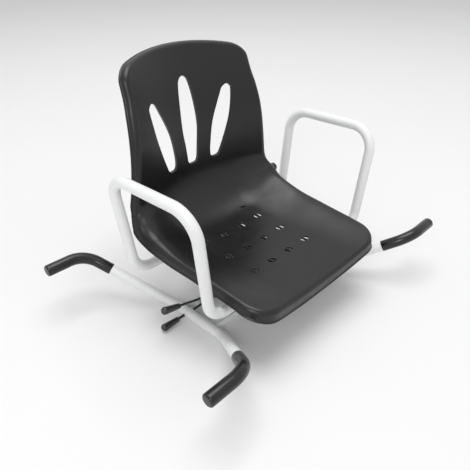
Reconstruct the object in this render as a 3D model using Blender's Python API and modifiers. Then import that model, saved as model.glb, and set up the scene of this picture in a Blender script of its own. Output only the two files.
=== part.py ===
"""Swivel bath seat: a moulded seat on a vertical spindle, hung between the rims of a bath.

Metres, +Z up.  The origin is where the swivel axis crosses the plane of the bath's rim.
The sitter faces -Y, so -X is the sitter's right.
"""

import math

import bmesh
import bpy
from mathutils import Vector

# Clearances and mesh settings
FIT = 0.0003
WELD = 0.00001
TURN_STEPS = 28
SMALL_STEPS = 16
TUBE_RESOLUTION = 5
BEND_STEPS = 5

# Bent steel tube of the frame and the armrests
TUBE_RADIUS = 0.011
HOOK_END_X = 0.362
HOOK_CORNER_X = 0.279
HOOK_Y = 0.242
CRADLE_X = 0.173
CRADLE_Y = 0.080
CRADLE_DEPTH = 0.0925
HOOK_BEND = 0.060
CRADLE_BEND = 0.045

# Rubber sleeves that lie on the rim
SLEEVE_RADIUS = 0.0125
SLEEVE_CAP = 0.006
SLEEVE_ROUNDING = 0.004
SLEEVE_ARM_LENGTH = 0.068

# Folded tray between the side tubes
TRAY_THICKNESS = 0.003
TRAY_LENGTH_Y = 0.100
TRAY_FLANGE_HEIGHT = 0.0145
TRAY_FOLD = 0.002
TRAY_TRIM = 0.005
ROUND_PROFILE = 0.5

# Hub, bushes and thrust washer
HUB_RADIUS = 0.025
HUB_WALL = 0.003
HUB_HEIGHT = 0.0467
HUB_WINDOW_HALF_Y = 0.027
HUB_WINDOW_HEIGHT = 0.0107
HUB_WINDOW_END_X = 0.005
BUSH_WALL = 0.0025
LOWER_BUSH_LIFT = 0.0117
LOWER_BUSH_LENGTH = 0.011
UPPER_BUSH_LENGTH = 0.023
BUSH_FLANGE = 0.0027
WASHER_THICKNESS = 0.002

# Spindle
SPINDLE_RADIUS = 0.019
SPINDLE_BORE = 0.010
SPINDLE_RUNNING_GAP = 0.0002
SPINDLE_FLOOR_GAP = 0.001
GROOVE_RADIUS = 0.015
GROOVE_HEIGHT = 0.004
COLLAR_RADIUS = 0.028
COLLAR_HEIGHT = 0.0064

# Armrests and the carrier plate under them
RUN_Z = 0.0105
RUN_END_X = 0.022
FOOT_X = 0.2355
FRONT_FOOT_Y = -0.112
REAR_FOOT_Y = 0.110
RAIL_X = 0.266
RAIL_FRONT_Y = -0.118
RAIL_REAR_Y = 0.111
RAIL_FRONT_Z = 0.2415
RAIL_REAR_Z = 0.238
FOOT_BEND = 0.045
RAIL_BEND = 0.050
CARRIER_THICKNESS = 0.004
CARRIER_HALF_X = 0.065
CARRIER_MARGIN_Y = 0.015
CARRIER_HALF_Y = CARRIER_MARGIN_Y - FRONT_FOOT_Y
LUG_MARGIN = 0.016
CORNER_RADIUS = 0.006
PLUG_FLANGE = 0.002
PLUG_DEPTH = 0.012
TUBE_WALL = 0.0015

# Screws and bolts
SCREW_RADIUS = 0.0029
SCREW_HOLE_RADIUS = 0.0032
HEAD_RADIUS = 0.0055
HEAD_HEIGHT = 0.0034
SOCKET_RADIUS = 0.0023
SOCKET_DEPTH = 0.0018
WASHER_RADIUS = 0.007
SCREW_WASHER_THICKNESS = 0.0012
SEAT_SCREW_X = 0.085
SEAT_SCREW_BITE = 0.0045
CARRIER_BOLT_X = 0.045
CARRIER_BOLT_BITE = 0.013
TIP_GAP = 0.0006

# Seat lock: lever, pivot and index pin
PIN_X = -0.080
PIN_Y = -0.010
PIN_RADIUS = 0.005
PIN_LENGTH = 0.0432
PIN_CLEARANCE = 0.0008
PIN_SLOT_WIDTH = 0.0056
PIN_SLOT_HEIGHT = 0.0072
GUIDE_WALL = 0.0027
GUIDE_LENGTH = 0.0224
INDEX_PLATE_RADIUS = 0.095
INDEX_PLATE_THICKNESS = 0.004
INDEX_PLATE_DROP = 0.002
INDEX_STOPS = 4
INDEX_PLATE_STEPS = 48
PIVOT_X = -0.040
PIVOT_DEPTH = 0.036
PIVOT_RADIUS = 0.003
PIVOT_HEAD_RADIUS = 0.005
PIVOT_HEAD = 0.002
CLIP_THICKNESS = 0.001
LEVER_SLEEVE_RADIUS = 0.005
LEVER_SLEEVE_WIDTH = 0.012
LEVER_RADIUS = 0.0025
LEVER_BEND = 0.030
LEVER_ELBOW_X = -0.1665
LEVER_TIP_X = -0.268
LEVER_TIP_Z = -0.010
BRACKET_THICKNESS = 0.003
BRACKET_HALF_X = 0.009
BRACKET_BELOW_PIVOT = 0.008

# Pull rod that retains the spindle
ROD_Y = 0.027
ROD_RADIUS = 0.003
ROD_BUSH_WALL = 0.0012
ROD_BUSH_PROUD = 0.0015
ROD_COLLAR_RADIUS = 0.0052
ROD_COLLAR_LENGTH = 0.004
ROD_COLLAR_GAP = 0.008
FORK_THICKNESS = 0.003
FORK_TIP_X = 0.002
FORK_HALF_Y = 0.024
FORK_TAIL_X = -0.038
FORK_TONGUE_X = -0.072
FORK_TONGUE_HALF_Y = 0.005
FORK_SLANT = 0.008
FORK_GUSSET = 0.012
FORK_CLEARANCE = 0.0004
FORK_ARC_STEPS = 16
GUIDE_TAB_X = -0.127
GUIDE_TAB_THICKNESS = 0.003
GUIDE_TAB_HALF_Y = 0.010
GUIDE_TAB_HEIGHT = 0.0147
SPRING_TURNS = 6
SPRING_RADIUS = 0.005
SPRING_WIRE = 0.0006

# Grips on the two rods, thin at the neck and thick at the round end
GRIP_LENGTH = 0.045
GRIP_RADIUS = 0.008
GRIP_ROUNDING = 0.007
GRIP_NECK_RADIUS = 0.0055
GRIP_NECK_ROUNDING = 0.001
GRIP_SOCKET = 0.022
ROD_GRIP_START_X = -0.201

# Seat shell: centre line, from the front edge over the pan and up the back
SEAT_FRONT_Y = -0.1907
SEAT_FRONT_Z = 0.0256
PAN_LENGTH = 0.279
TURN_LENGTH = 0.160
BACK_LENGTH = 0.2691
SEAT_LENGTH = PAN_LENGTH + TURN_LENGTH + BACK_LENGTH
# Slope of the centre line in degrees, at distances along it
SEAT_SLOPES = (
    (0.0, 2.0),
    (0.040, 0.3),
    (0.095, -1.5),
    (0.160, 0.5),
    (0.217, 3.0),
    (PAN_LENGTH, 7.0),
    (PAN_LENGTH + TURN_LENGTH, 91.4),
    (SEAT_LENGTH, 71.7),
)
# Half of the seat's width at distances along the centre line
SEAT_HALF_WIDTHS = (
    (0.0, 0.1886),
    (0.147, 0.1940),
    (0.220, 0.1950),
    (0.295, 0.1895),
    (0.365, 0.1866),
    (0.406, 0.1842),
    (0.434, 0.1846),
    (0.502, 0.1765),
    (0.570, 0.1683),
    (0.637, 0.1590),
    (SEAT_LENGTH, 0.1554),
)
# Sideways curvature of the sheet, per metre
SEAT_DISHING = (
    (0.0, 1.0),
    (0.170, 1.0),
    (PAN_LENGTH, 1.45),
    (0.359, 2.04),
    (PAN_LENGTH + TURN_LENGTH, 2.62),
    (0.569, 3.51),
    (SEAT_LENGTH, 3.08),
)
# Extra rise of the side edges
SEAT_EDGE_RISE = (
    (0.0, 0.0022),
    (0.147, 0.0181),
    (0.220, 0.0203),
    (0.289, 0.0262),
    (0.353, 0.0226),
    (0.406, 0.0100),
    (PAN_LENGTH + TURN_LENGTH, 0.0035),
    (0.555, 0.0),
    (SEAT_LENGTH, 0.0),
)
EDGE_RISE_START = 0.5
SHELL_THICKNESS = 0.0036
FRONT_CORNER = 0.040
FRONT_BOW = 0.0062
FRONT_BOW_REACH = 0.080
TOP_CORNER = 0.0245
TOP_ARCH = 0.0305
TOP_ARCH_REACH = 0.102
RIM_RADIUS = 0.010
# Extra radius of the rim's roll, which is widest where the pan turns up into the back
RIM_SWELLS = (
    (0.0, 0.0),
    (0.160, 0.0),
    (0.220, 0.0025),
    (0.280, 0.0090),
    (0.340, 0.0125),
    (0.375, 0.0095),
    (0.406, 0.0050),
    (PAN_LENGTH + TURN_LENGTH, 0.0015),
    (0.475, 0.0),
    (SEAT_LENGTH, 0.0),
)
RIM_FLARE = 0.002
RIM_FLARE_HEIGHT = 0.004
# Drop of the rim below its roll, flare and all, at distances along the centre line
RIM_DROP_RUN = 0.045
RIM_DROPS = (
    (0.0, 0.0168),
    (RIM_DROP_RUN, 0.0110),
    (SEAT_LENGTH - RIM_DROP_RUN, 0.0095),
    (SEAT_LENGTH, 0.0087),
)
COLUMNS = 14
EDGE_CROWDING = 0.45
CORNER_ROWS = 4
PAN_ROWS = 6
TURN_ROWS = 8
BACK_ROWS = 6
RIM_STEPS = 4

# Drain holes: round, with a bar across that leaves two halves
DRAIN_XS = (-0.084, -0.028, 0.028, 0.084)
DRAIN_YS = (-0.083, -0.012, 0.057)
DRAIN_RADIUS = 0.009
DRAIN_BAR = 0.005
DRAIN_ARC_STEPS = 6

# Slots in the back, drawn from the front as (x, z)
MIDDLE_SLOT = (
    (0.0, 0.1575),
    (0.0095, 0.1585),
    (0.0145, 0.1650),
    (0.0165, 0.1780),
    (0.0193, 0.2030),
    (0.0238, 0.2420),
    (0.0217, 0.2920),
    (0.0160, 0.3340),
    (0.0095, 0.3468),
    (0.0, 0.3510),
)
OUTER_SLOT = (
    (0.0640, 0.1580),
    (0.0740, 0.1600),
    (0.0805, 0.1690),
    (0.0966, 0.2105),
    (0.1097, 0.2535),
    (0.1180, 0.3030),
    (0.1158, 0.3140),
    (0.1070, 0.3195),
    (0.0970, 0.3150),
    (0.0893, 0.3040),
    (0.0626, 0.2440),
    (0.0524, 0.1920),
    (0.0513, 0.1690),
    (0.0550, 0.1600),
)
SLOT_CURVE_STEPS = 3
SLOT_COLLAR_WALL = 0.0024
SLOT_COLLAR_DEPTH = 0.0080
SLOT_CUT_FRONT_Y = 0.110
SLOT_CUT_REAR_Y = 0.300

# Bosses under the seat
BOSS_RADIUS = 0.011
BOSS_SIDES = 16

# Levels and lengths that follow from the sizes above
HOOK_Z = SLEEVE_RADIUS
CRADLE_Z = -CRADLE_DEPTH
TRAY_BOTTOM_Z = CRADLE_Z - TUBE_RADIUS
TRAY_TOP_Z = TRAY_BOTTOM_Z + TRAY_THICKNESS
HUB_BOTTOM_Z = TRAY_TOP_Z + FIT
HUB_TOP_Z = HUB_BOTTOM_Z + HUB_HEIGHT
HUB_BORE = HUB_RADIUS - HUB_WALL
BUSH_RADIUS = HUB_BORE - FIT
BUSH_BORE = SPINDLE_RADIUS + SPINDLE_RUNNING_GAP
FLANGE_TOP_Z = HUB_TOP_Z + FIT + BUSH_FLANGE
THRUST_TOP_Z = FLANGE_TOP_Z + FIT + WASHER_THICKNESS
INDEX_PLATE_TOP_Z = HUB_TOP_Z - INDEX_PLATE_DROP
COLLAR_BOTTOM_Z = THRUST_TOP_Z + FIT
CARRIER_TOP_Z = RUN_Z - TUBE_RADIUS - FIT
CARRIER_BOTTOM_Z = CARRIER_TOP_Z - CARRIER_THICKNESS
UNDER_CARRIER_Z = CARRIER_BOTTOM_Z - FIT
BOSS_BOTTOM_Z = RUN_Z + TUBE_RADIUS + FIT
PIVOT_Z = -PIVOT_DEPTH
PIN_BOTTOM_Z = INDEX_PLATE_TOP_Z + PIN_CLEARANCE
GUIDE_BORE = PIN_RADIUS + FIT
EAR_INNER_Y = LEVER_SLEEVE_WIDTH / 2 + FIT
EAR_OUTER_Y = EAR_INNER_Y + BRACKET_THICKNESS
PIVOT_HOLE = PIVOT_RADIUS + FIT
FORK_SLOT = GROOVE_RADIUS + FORK_CLEARANCE
ROD_HOLE = ROD_RADIUS + FIT
ROD_END_X = FORK_TONGUE_X + 0.016
COLLAR_FACE_X = FORK_TONGUE_X - ROD_COLLAR_GAP - ROD_COLLAR_LENGTH

# Colours as red, green, blue; then roughness and metallic
FINISHES = {
    "white powder coat": ((0.83, 0.84, 0.85), 0.32, 0.0),
    "black seat plastic": ((0.018, 0.018, 0.020), 0.42, 0.0),
    "black rubber": ((0.012, 0.012, 0.013), 0.35, 0.0),
    "black grip plastic": ((0.014, 0.014, 0.015), 0.38, 0.0),
    "zinc plated steel": ((0.62, 0.63, 0.65), 0.35, 1.0),
    "spring steel": ((0.45, 0.45, 0.47), 0.30, 1.0),
    "natural nylon": ((0.78, 0.77, 0.72), 0.50, 0.0),
}

UP = Vector((0.0, 0.0, 1.0))


def clear_scene():
    for item in list(bpy.data.objects):
        bpy.data.objects.remove(item, do_unlink=True)


def new_collection(name):
    collection = bpy.data.collections.new(name)
    bpy.context.scene.collection.children.link(collection)
    return collection


def make_material(name):
    colour, roughness, metallic = FINISHES[name]
    material = bpy.data.materials.new(name)
    material.use_nodes = True
    shader = material.node_tree.nodes["Principled BSDF"]
    shader.inputs["Base Color"].default_value = (*colour, 1.0)
    shader.inputs["Roughness"].default_value = roughness
    shader.inputs["Metallic"].default_value = metallic
    material.diffuse_color = (*colour, 1.0)
    return material


clear_scene()
PARTS = new_collection("swivel_bath_seat")
CUTTERS = new_collection("cutters")
MATERIALS = {name: make_material(name) for name in FINISHES}


# Objects, joints and cuts

def joint_empty(name, place, parent=None):
    """Put an empty on a joint's axis; the moving pieces hang from it."""
    empty = bpy.data.objects.new(name, None)
    empty.empty_display_size = 0.03
    PARTS.objects.link(empty)
    empty.location = place
    if parent:
        hang(empty, parent)
    bpy.context.view_layer.update()
    return empty


def hang(item, parent):
    item.parent = parent
    item.matrix_parent_inverse = parent.matrix_world.inverted()


def finish(item, material, parent):
    """Give a piece its material and hang it from its joint."""
    item.data.materials.clear()
    item.data.materials.append(MATERIALS[material])
    hang(item, parent)
    return item


def mesh_object(name, shape, place=(0.0, 0.0, 0.0)):
    """Make an object from a bmesh and free the bmesh."""
    mesh = bpy.data.meshes.new(name)
    shape.to_mesh(mesh)
    shape.free()
    mesh.shade_smooth()
    mesh.set_sharp_from_angle(angle=math.radians(35))
    item = bpy.data.objects.new(name, mesh)
    item.location = place
    PARTS.objects.link(item)
    return item


def as_mesh(item):
    """Replace an object by the welded mesh that its curve or modifiers give."""
    bpy.context.view_layer.update()
    depsgraph = bpy.context.evaluated_depsgraph_get()
    mesh = bpy.data.meshes.new_from_object(item.evaluated_get(depsgraph))
    welded = bmesh.new()
    welded.from_mesh(mesh)
    bmesh.ops.remove_doubles(welded, verts=welded.verts, dist=WELD)
    welded.to_mesh(mesh)
    welded.free()
    name = item.name
    matrix = item.matrix_world.copy()
    bpy.data.objects.remove(item, do_unlink=True)
    solid = bpy.data.objects.new(name, mesh)
    solid.matrix_world = matrix
    PARTS.objects.link(solid)
    mesh.name = name
    return solid


def as_tool(tool, parent):
    """Make an object a cutter or a guide: never rendered, drawn as wire."""
    PARTS.objects.unlink(tool)
    CUTTERS.objects.link(tool)
    tool.hide_render = True
    tool.display_type = "WIRE"
    hang(tool, parent)
    return tool


def combine(piece, tool, operation, parent):
    as_tool(tool, parent)
    boolean = piece.modifiers.new(tool.name, "BOOLEAN")
    boolean.operation = operation
    boolean.solver = "EXACT"
    boolean.object = tool


def cut(piece, tool, parent):
    combine(piece, tool, "DIFFERENCE", parent)


def join(piece, tool, parent):
    combine(piece, tool, "UNION", parent)


# Shapes

def box(name, low, high):
    """A box between two corners, with its origin at its middle."""
    low = Vector(low)
    high = Vector(high)
    shape = bmesh.new()
    bmesh.ops.create_cube(shape, size=1.0)
    bmesh.ops.scale(shape, vec=high - low, verts=shape.verts)
    return mesh_object(name, shape, (low + high) / 2)


def cylinder(name, start, end, radius, sides=TURN_STEPS):
    """A cylinder between two points on its axis."""
    start = Vector(start)
    end = Vector(end)
    shape = bmesh.new()
    bmesh.ops.create_cone(
        shape,
        cap_ends=True,
        segments=sides,
        radius1=radius,
        radius2=radius,
        depth=(end - start).length,
    )
    item = mesh_object(name, shape, (start + end) / 2)
    item.rotation_euler = (end - start).to_track_quat("Z", "Y").to_euler()
    return item


def turned(name, profile, place=(0.0, 0.0, 0.0), direction=UP, steps=TURN_STEPS):
    """Turn (radius, height) points about the axis that starts at place.

    The profile runs down its outer side.  It is closed into a ring unless both ends are on the axis.
    """
    shape = bmesh.new()
    verts = [shape.verts.new((radius, 0.0, height)) for radius, height in profile]
    pairs = list(zip(verts, verts[1:]))
    on_axis = profile[0][0] == 0.0 and profile[-1][0] == 0.0
    if not on_axis:
        pairs.append((verts[-1], verts[0]))
    for pair in pairs:
        shape.edges.new(pair)
    item = mesh_object(name, shape, place)
    item.rotation_euler = Vector(direction).to_track_quat("Z", "Y").to_euler()
    screw = item.modifiers.new("Turn", "SCREW")
    screw.angle = math.tau
    screw.steps = steps
    screw.render_steps = steps
    screw.use_merge_vertices = True
    screw.merge_threshold = WELD
    screw.use_smooth_shade = False
    return item


def ring(name, bore, radius, bottom, top, place=(0.0, 0.0, 0.0), direction=UP, steps=TURN_STEPS):
    profile = ((radius, top), (radius, bottom), (bore, bottom), (bore, top))
    return turned(name, profile, place, direction, steps)


def bent_path(corners, bends):
    """Points of a path that turns each inner corner on an arc of its own radius."""
    points = [Vector(corner) for corner in corners]
    path = [points[0]]
    for before, corner, after, bend in zip(points, points[1:], points[2:], bends):
        back = (before - corner).normalized()
        onward = (after - corner).normalized()
        half_angle = back.angle(onward) / 2
        centre = corner + (back + onward).normalized() * bend / math.sin(half_angle)
        reach = bend / math.tan(half_angle)
        first = (corner + back * reach - centre).normalized()
        last = (corner + onward * reach - centre).normalized()
        for step in range(BEND_STEPS + 1):
            path.append(centre + bend * first.slerp(last, step / BEND_STEPS))
    path.append(points[-1])
    return path


def tube(name, path, radius, resolution=TUBE_RESOLUTION, thinning=()):
    """A round bar along a path.  Thinning lists the share of the radius at the first points."""
    curve = bpy.data.curves.new(name, "CURVE")
    curve.dimensions = "3D"
    curve.bevel_depth = radius
    curve.bevel_resolution = resolution
    curve.use_fill_caps = True
    spline = curve.splines.new("POLY")
    spline.points.add(len(path) - 1)
    for point, place in zip(spline.points, path):
        point.co = (*place, 1.0)
    for point, share in zip(spline.points, thinning):
        point.radius = share
    item = bpy.data.objects.new(name, curve)
    PARTS.objects.link(item)
    return item


def plate(name, outlines, bottom_z, thickness):
    """A flat plate.  The first outline is its edge and the others are its holes."""
    curve = bpy.data.curves.new(name, "CURVE")
    curve.dimensions = "2D"
    curve.fill_mode = "BOTH"
    curve.extrude = thickness / 2
    for outline in outlines:
        spline = curve.splines.new("POLY")
        spline.use_cyclic_u = True
        spline.points.add(len(outline) - 1)
        for point, place in zip(spline.points, outline):
            point.co = (place[0], place[1], 0.0, 1.0)
    item = bpy.data.objects.new(name, curve)
    item.location = (0.0, 0.0, bottom_z + thickness / 2)
    PARTS.objects.link(item)
    return item


def circle(radius, centre=(0.0, 0.0), count=TURN_STEPS):
    angles = [math.tau * step / count for step in range(count)]
    return [(centre[0] + radius * math.cos(a), centre[1] + radius * math.sin(a)) for a in angles]


def rounded(corners, radius, steps=3):
    """An outline with every corner turned on a small arc."""
    count = len(corners)
    points = [Vector((x, y, 0.0)) for x, y in corners]
    outline = []
    for index, corner in enumerate(points):
        before = points[index - 1]
        after = points[(index + 1) % count]
        back = (before - corner).normalized()
        onward = (after - corner).normalized()
        half_angle = back.angle(onward) / 2
        centre = corner + (back + onward).normalized() * radius / math.sin(half_angle)
        reach = radius / math.tan(half_angle)
        first = (corner + back * reach - centre).normalized()
        last = (corner + onward * reach - centre).normalized()
        for step in range(steps + 1):
            point = centre + radius * first.slerp(last, step / steps)
            outline.append((point.x, point.y))
    return outline


def smooth_outline(corners, steps, closed):
    """A smooth curve through the given points (Catmull-Rom)."""
    count = len(corners)
    points = [Vector((x, y, 0.0)) for x, y in corners]
    spans = count if closed else count - 1
    outline = []
    for index in range(spans):
        start = points[index]
        end = points[(index + 1) % count]
        before = points[index - 1] if closed or index > 0 else start
        after = points[(index + 2) % count] if closed or index + 2 < count else end
        for step in range(steps):
            t = step / steps
            bend = (end - before) * (t - 2 * t**2 + t**3) / 2
            lead = (after - start) * (t**3 - t**2) / 2
            point = start * (1 - 3 * t**2 + 2 * t**3) + end * (3 * t**2 - 2 * t**3) + bend + lead
            outline.append((point.x, point.y))
    if not closed:
        outline.append(tuple(corners[-1]))
    return outline


# Base frame

def side_tube_corners(side):
    """Corners of one side tube from its front hook to its rear hook; side is -1 or +1."""
    return [
        (side * HOOK_END_X, -HOOK_Y, HOOK_Z),
        (side * HOOK_CORNER_X, -HOOK_Y, HOOK_Z),
        (side * CRADLE_X, -CRADLE_Y, CRADLE_Z),
        (side * CRADLE_X, CRADLE_Y, CRADLE_Z),
        (side * HOOK_CORNER_X, HOOK_Y, HOOK_Z),
        (side * HOOK_END_X, HOOK_Y, HOOK_Z),
    ]


def make_side_tube(name, side, base):
    bends = [HOOK_BEND, CRADLE_BEND, CRADLE_BEND, HOOK_BEND]
    path = bent_path(side_tube_corners(side), bends)
    piece = as_mesh(tube(name, path, TUBE_RADIUS))
    if side < 0:
        hole = cylinder(
            "rod_hole_cutter",
            (-CRADLE_X - 2 * TUBE_RADIUS, ROD_Y, CRADLE_Z),
            (-CRADLE_X + 2 * TUBE_RADIUS, ROD_Y, CRADLE_Z),
            ROD_HOLE + ROD_BUSH_WALL + FIT,
        )
        cut(piece, hole, base)
    return finish(piece, "white powder coat", base)


def make_rim_sleeve(name, side, end, base):
    """A rubber sleeve over one hook; end is -1 at the front and +1 at the rear."""
    corners = side_tube_corners(side)
    if end > 0:
        corners.reverse()
    tip = Vector(corners[0])
    corner = Vector(corners[1])
    cradle = Vector(corners[2])
    outward = (tip - corner).normalized()
    inner_end = corner + (cradle - corner).normalized() * SLEEVE_ARM_LENGTH
    outer_end = tip + outward * SLEEVE_CAP
    path = bent_path([outer_end, corner, inner_end], [HOOK_BEND])
    steps = [1 - math.cos(math.radians(angle)) for angle in (0, 30, 60, 90)]
    shares = [math.sin(math.radians(angle)) for angle in (0, 30, 60, 90)]
    round_end = [outer_end - outward * SLEEVE_ROUNDING * step for step in steps]
    flat = SLEEVE_RADIUS - SLEEVE_ROUNDING
    thinning = [(flat + SLEEVE_ROUNDING * share) / SLEEVE_RADIUS for share in shares]
    piece = as_mesh(tube(name, round_end + path[1:], SLEEVE_RADIUS, 6, thinning))
    past_end = corner + (cradle - corner).normalized() * (SLEEVE_ARM_LENGTH + HOOK_BEND)
    bore_path = bent_path([tip + outward * FIT, corner, past_end], [HOOK_BEND])
    bore = as_mesh(tube(name + "_bore_cutter", bore_path, TUBE_RADIUS + FIT))
    cut(piece, bore, base)
    return finish(piece, "black rubber", base)


def make_tray(base):
    """A steel sheet folded up at its front and rear edges, coped to the side tubes."""
    half_y = TRAY_LENGTH_Y / 2
    rise = TRAY_FLANGE_HEIGHT
    wall = TRAY_THICKNESS
    section = [
        (-half_y, rise),
        (-half_y, 0.0),
        (half_y, 0.0),
        (half_y, rise),
        (half_y - wall, rise),
        (half_y - wall, wall),
        (-half_y + wall, wall),
        (-half_y + wall, rise),
    ]
    half_x = CRADLE_X - TRAY_TRIM
    shape = bmesh.new()
    verts = [shape.verts.new((-half_x, y, z)) for y, z in section]
    face = shape.faces.new(verts)
    swept = bmesh.ops.extrude_face_region(shape, geom=[face])
    moved = [item for item in swept["geom"] if isinstance(item, bmesh.types.BMVert)]
    bmesh.ops.translate(shape, vec=(2 * half_x, 0.0, 0.0), verts=moved)
    bmesh.ops.recalc_face_normals(shape, faces=shape.faces)
    folds = [
        edge
        for edge in shape.edges
        if abs(edge.verts[0].co.x - edge.verts[1].co.x) > half_x
        and edge.verts[0].co.z == 0.0
    ]
    bmesh.ops.bevel(
        shape,
        geom=folds,
        offset=TRAY_FOLD,
        segments=3,
        affect="EDGES",
        profile=ROUND_PROFILE,
    )
    piece = mesh_object("base_tray", shape, (0.0, 0.0, TRAY_BOTTOM_Z))
    for label, side in (("right", -1), ("left", 1)):
        cope = cylinder(
            f"tray_cope_cutter_{label}",
            (side * CRADLE_X, -TRAY_LENGTH_Y, CRADLE_Z),
            (side * CRADLE_X, TRAY_LENGTH_Y, CRADLE_Z),
            TUBE_RADIUS + FIT,
        )
        cut(piece, cope, base)
    return finish(piece, "white powder coat", base)


def make_hub(base):
    """The hub tube, with a window low on the right side for the retaining fork."""
    piece = ring("hub_tube", HUB_BORE, HUB_RADIUS, HUB_BOTTOM_Z, HUB_TOP_Z)
    window = box(
        "hub_window_cutter",
        (-2 * HUB_RADIUS, -HUB_WINDOW_HALF_Y, HUB_BOTTOM_Z - HUB_WALL),
        (HUB_WINDOW_END_X, HUB_WINDOW_HALF_Y, HUB_BOTTOM_Z + HUB_WINDOW_HEIGHT),
    )
    cut(piece, window, base)
    return finish(piece, "white powder coat", base)


def make_index_plate(base):
    reach = math.hypot(PIN_X, PIN_Y)
    heading = math.atan2(PIN_Y, PIN_X)
    outlines = [circle(INDEX_PLATE_RADIUS, count=INDEX_PLATE_STEPS), circle(HUB_RADIUS + FIT)]
    for stop in range(INDEX_STOPS):
        angle = heading + math.tau * stop / INDEX_STOPS
        centre = (reach * math.cos(angle), reach * math.sin(angle))
        outlines.append(circle(GUIDE_BORE, centre, SMALL_STEPS))
    bottom_z = INDEX_PLATE_TOP_Z - INDEX_PLATE_THICKNESS
    piece = plate("index_plate", outlines, bottom_z, INDEX_PLATE_THICKNESS)
    return finish(as_mesh(piece), "zinc plated steel", base)


def make_bushes(base):
    bottom = HUB_BOTTOM_Z + LOWER_BUSH_LIFT
    lower = ring("lower_bush", BUSH_BORE, BUSH_RADIUS, bottom, bottom + LOWER_BUSH_LENGTH)
    finish(lower, "natural nylon", base)
    under_flange = HUB_TOP_Z + FIT
    foot = HUB_TOP_Z - UPPER_BUSH_LENGTH
    profile = (
        (HUB_RADIUS, FLANGE_TOP_Z),
        (HUB_RADIUS, under_flange),
        (BUSH_RADIUS, under_flange),
        (BUSH_RADIUS, foot),
        (BUSH_BORE, foot),
        (BUSH_BORE, FLANGE_TOP_Z),
    )
    finish(turned("upper_bush", profile), "natural nylon", base)
    bottom = FLANGE_TOP_Z + FIT
    washer = ring("thrust_washer", BUSH_BORE, HUB_RADIUS, bottom, THRUST_TOP_Z)
    finish(washer, "zinc plated steel", base)


def make_rod_bush(base):
    half_length = TUBE_RADIUS + ROD_BUSH_PROUD
    place = (-CRADLE_X, ROD_Y, CRADLE_Z)
    bore = ROD_HOLE
    outer = bore + ROD_BUSH_WALL
    piece = ring("rod_bush", bore, outer, -half_length, half_length, place, (1, 0, 0), SMALL_STEPS)
    return finish(piece, "natural nylon", base)


def make_rod_guide(base):
    piece = box(
        "rod_guide_bracket",
        (GUIDE_TAB_X - GUIDE_TAB_THICKNESS, ROD_Y - GUIDE_TAB_HALF_Y, TRAY_TOP_Z + FIT),
        (GUIDE_TAB_X, ROD_Y + GUIDE_TAB_HALF_Y, TRAY_TOP_Z + FIT + GUIDE_TAB_HEIGHT),
    )
    hole = cylinder(
        "rod_guide_cutter",
        (GUIDE_TAB_X - 2 * GUIDE_TAB_THICKNESS, ROD_Y, CRADLE_Z),
        (GUIDE_TAB_X + GUIDE_TAB_THICKNESS, ROD_Y, CRADLE_Z),
        ROD_HOLE,
        SMALL_STEPS,
    )
    cut(piece, hole, base)
    return finish(piece, "zinc plated steel", base)


# Turning seat: spindle, carrier plate and armrests

def make_spindle(seat):
    bottom = TRAY_TOP_Z + SPINDLE_FLOOR_GAP
    fork_middle = CRADLE_Z
    groove_top = fork_middle + GROOVE_HEIGHT / 2
    groove_bottom = fork_middle - GROOVE_HEIGHT / 2
    collar_top = COLLAR_BOTTOM_Z + COLLAR_HEIGHT
    profile = (
        (SPINDLE_RADIUS, UNDER_CARRIER_Z),
        (SPINDLE_RADIUS, collar_top),
        (COLLAR_RADIUS, collar_top),
        (COLLAR_RADIUS, COLLAR_BOTTOM_Z),
        (SPINDLE_RADIUS, COLLAR_BOTTOM_Z),
        (SPINDLE_RADIUS, groove_top),
        (GROOVE_RADIUS, groove_top),
        (GROOVE_RADIUS, groove_bottom),
        (SPINDLE_RADIUS, groove_bottom),
        (SPINDLE_RADIUS, bottom),
        (SPINDLE_BORE, bottom),
        (SPINDLE_BORE, UNDER_CARRIER_Z),
    )
    return finish(turned("spindle", profile), "zinc plated steel", seat)


def carrier_bolt_places():
    return [(x, y) for x in (-CARRIER_BOLT_X, CARRIER_BOLT_X) for y in (FRONT_FOOT_Y, REAR_FOOT_Y)]


def seat_screw_places():
    return [(x, y) for x in (-SEAT_SCREW_X, SEAT_SCREW_X) for y in (FRONT_FOOT_Y, REAR_FOOT_Y)]


def make_carrier_plate(seat):
    """The plate on the spindle, with a lug on its right side for the index pin's guide."""
    lug_x = PIN_X - LUG_MARGIN
    corners = [
        (CARRIER_HALF_X, -CARRIER_HALF_Y),
        (CARRIER_HALF_X, CARRIER_HALF_Y),
        (-CARRIER_HALF_X, CARRIER_HALF_Y),
        (-CARRIER_HALF_X, PIN_Y + 1.5 * LUG_MARGIN),
        (lug_x, PIN_Y + LUG_MARGIN),
        (lug_x, PIN_Y - LUG_MARGIN),
        (-CARRIER_HALF_X, PIN_Y - 1.5 * LUG_MARGIN),
        (-CARRIER_HALF_X, -CARRIER_HALF_Y),
    ]
    outlines = [rounded(corners, CORNER_RADIUS)]
    for place in carrier_bolt_places():
        outlines.append(circle(SCREW_HOLE_RADIUS, place, SMALL_STEPS))
    piece = plate("seat_carrier_plate", outlines, CARRIER_BOTTOM_Z, CARRIER_THICKNESS)
    return finish(as_mesh(piece), "white powder coat", seat)


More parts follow.
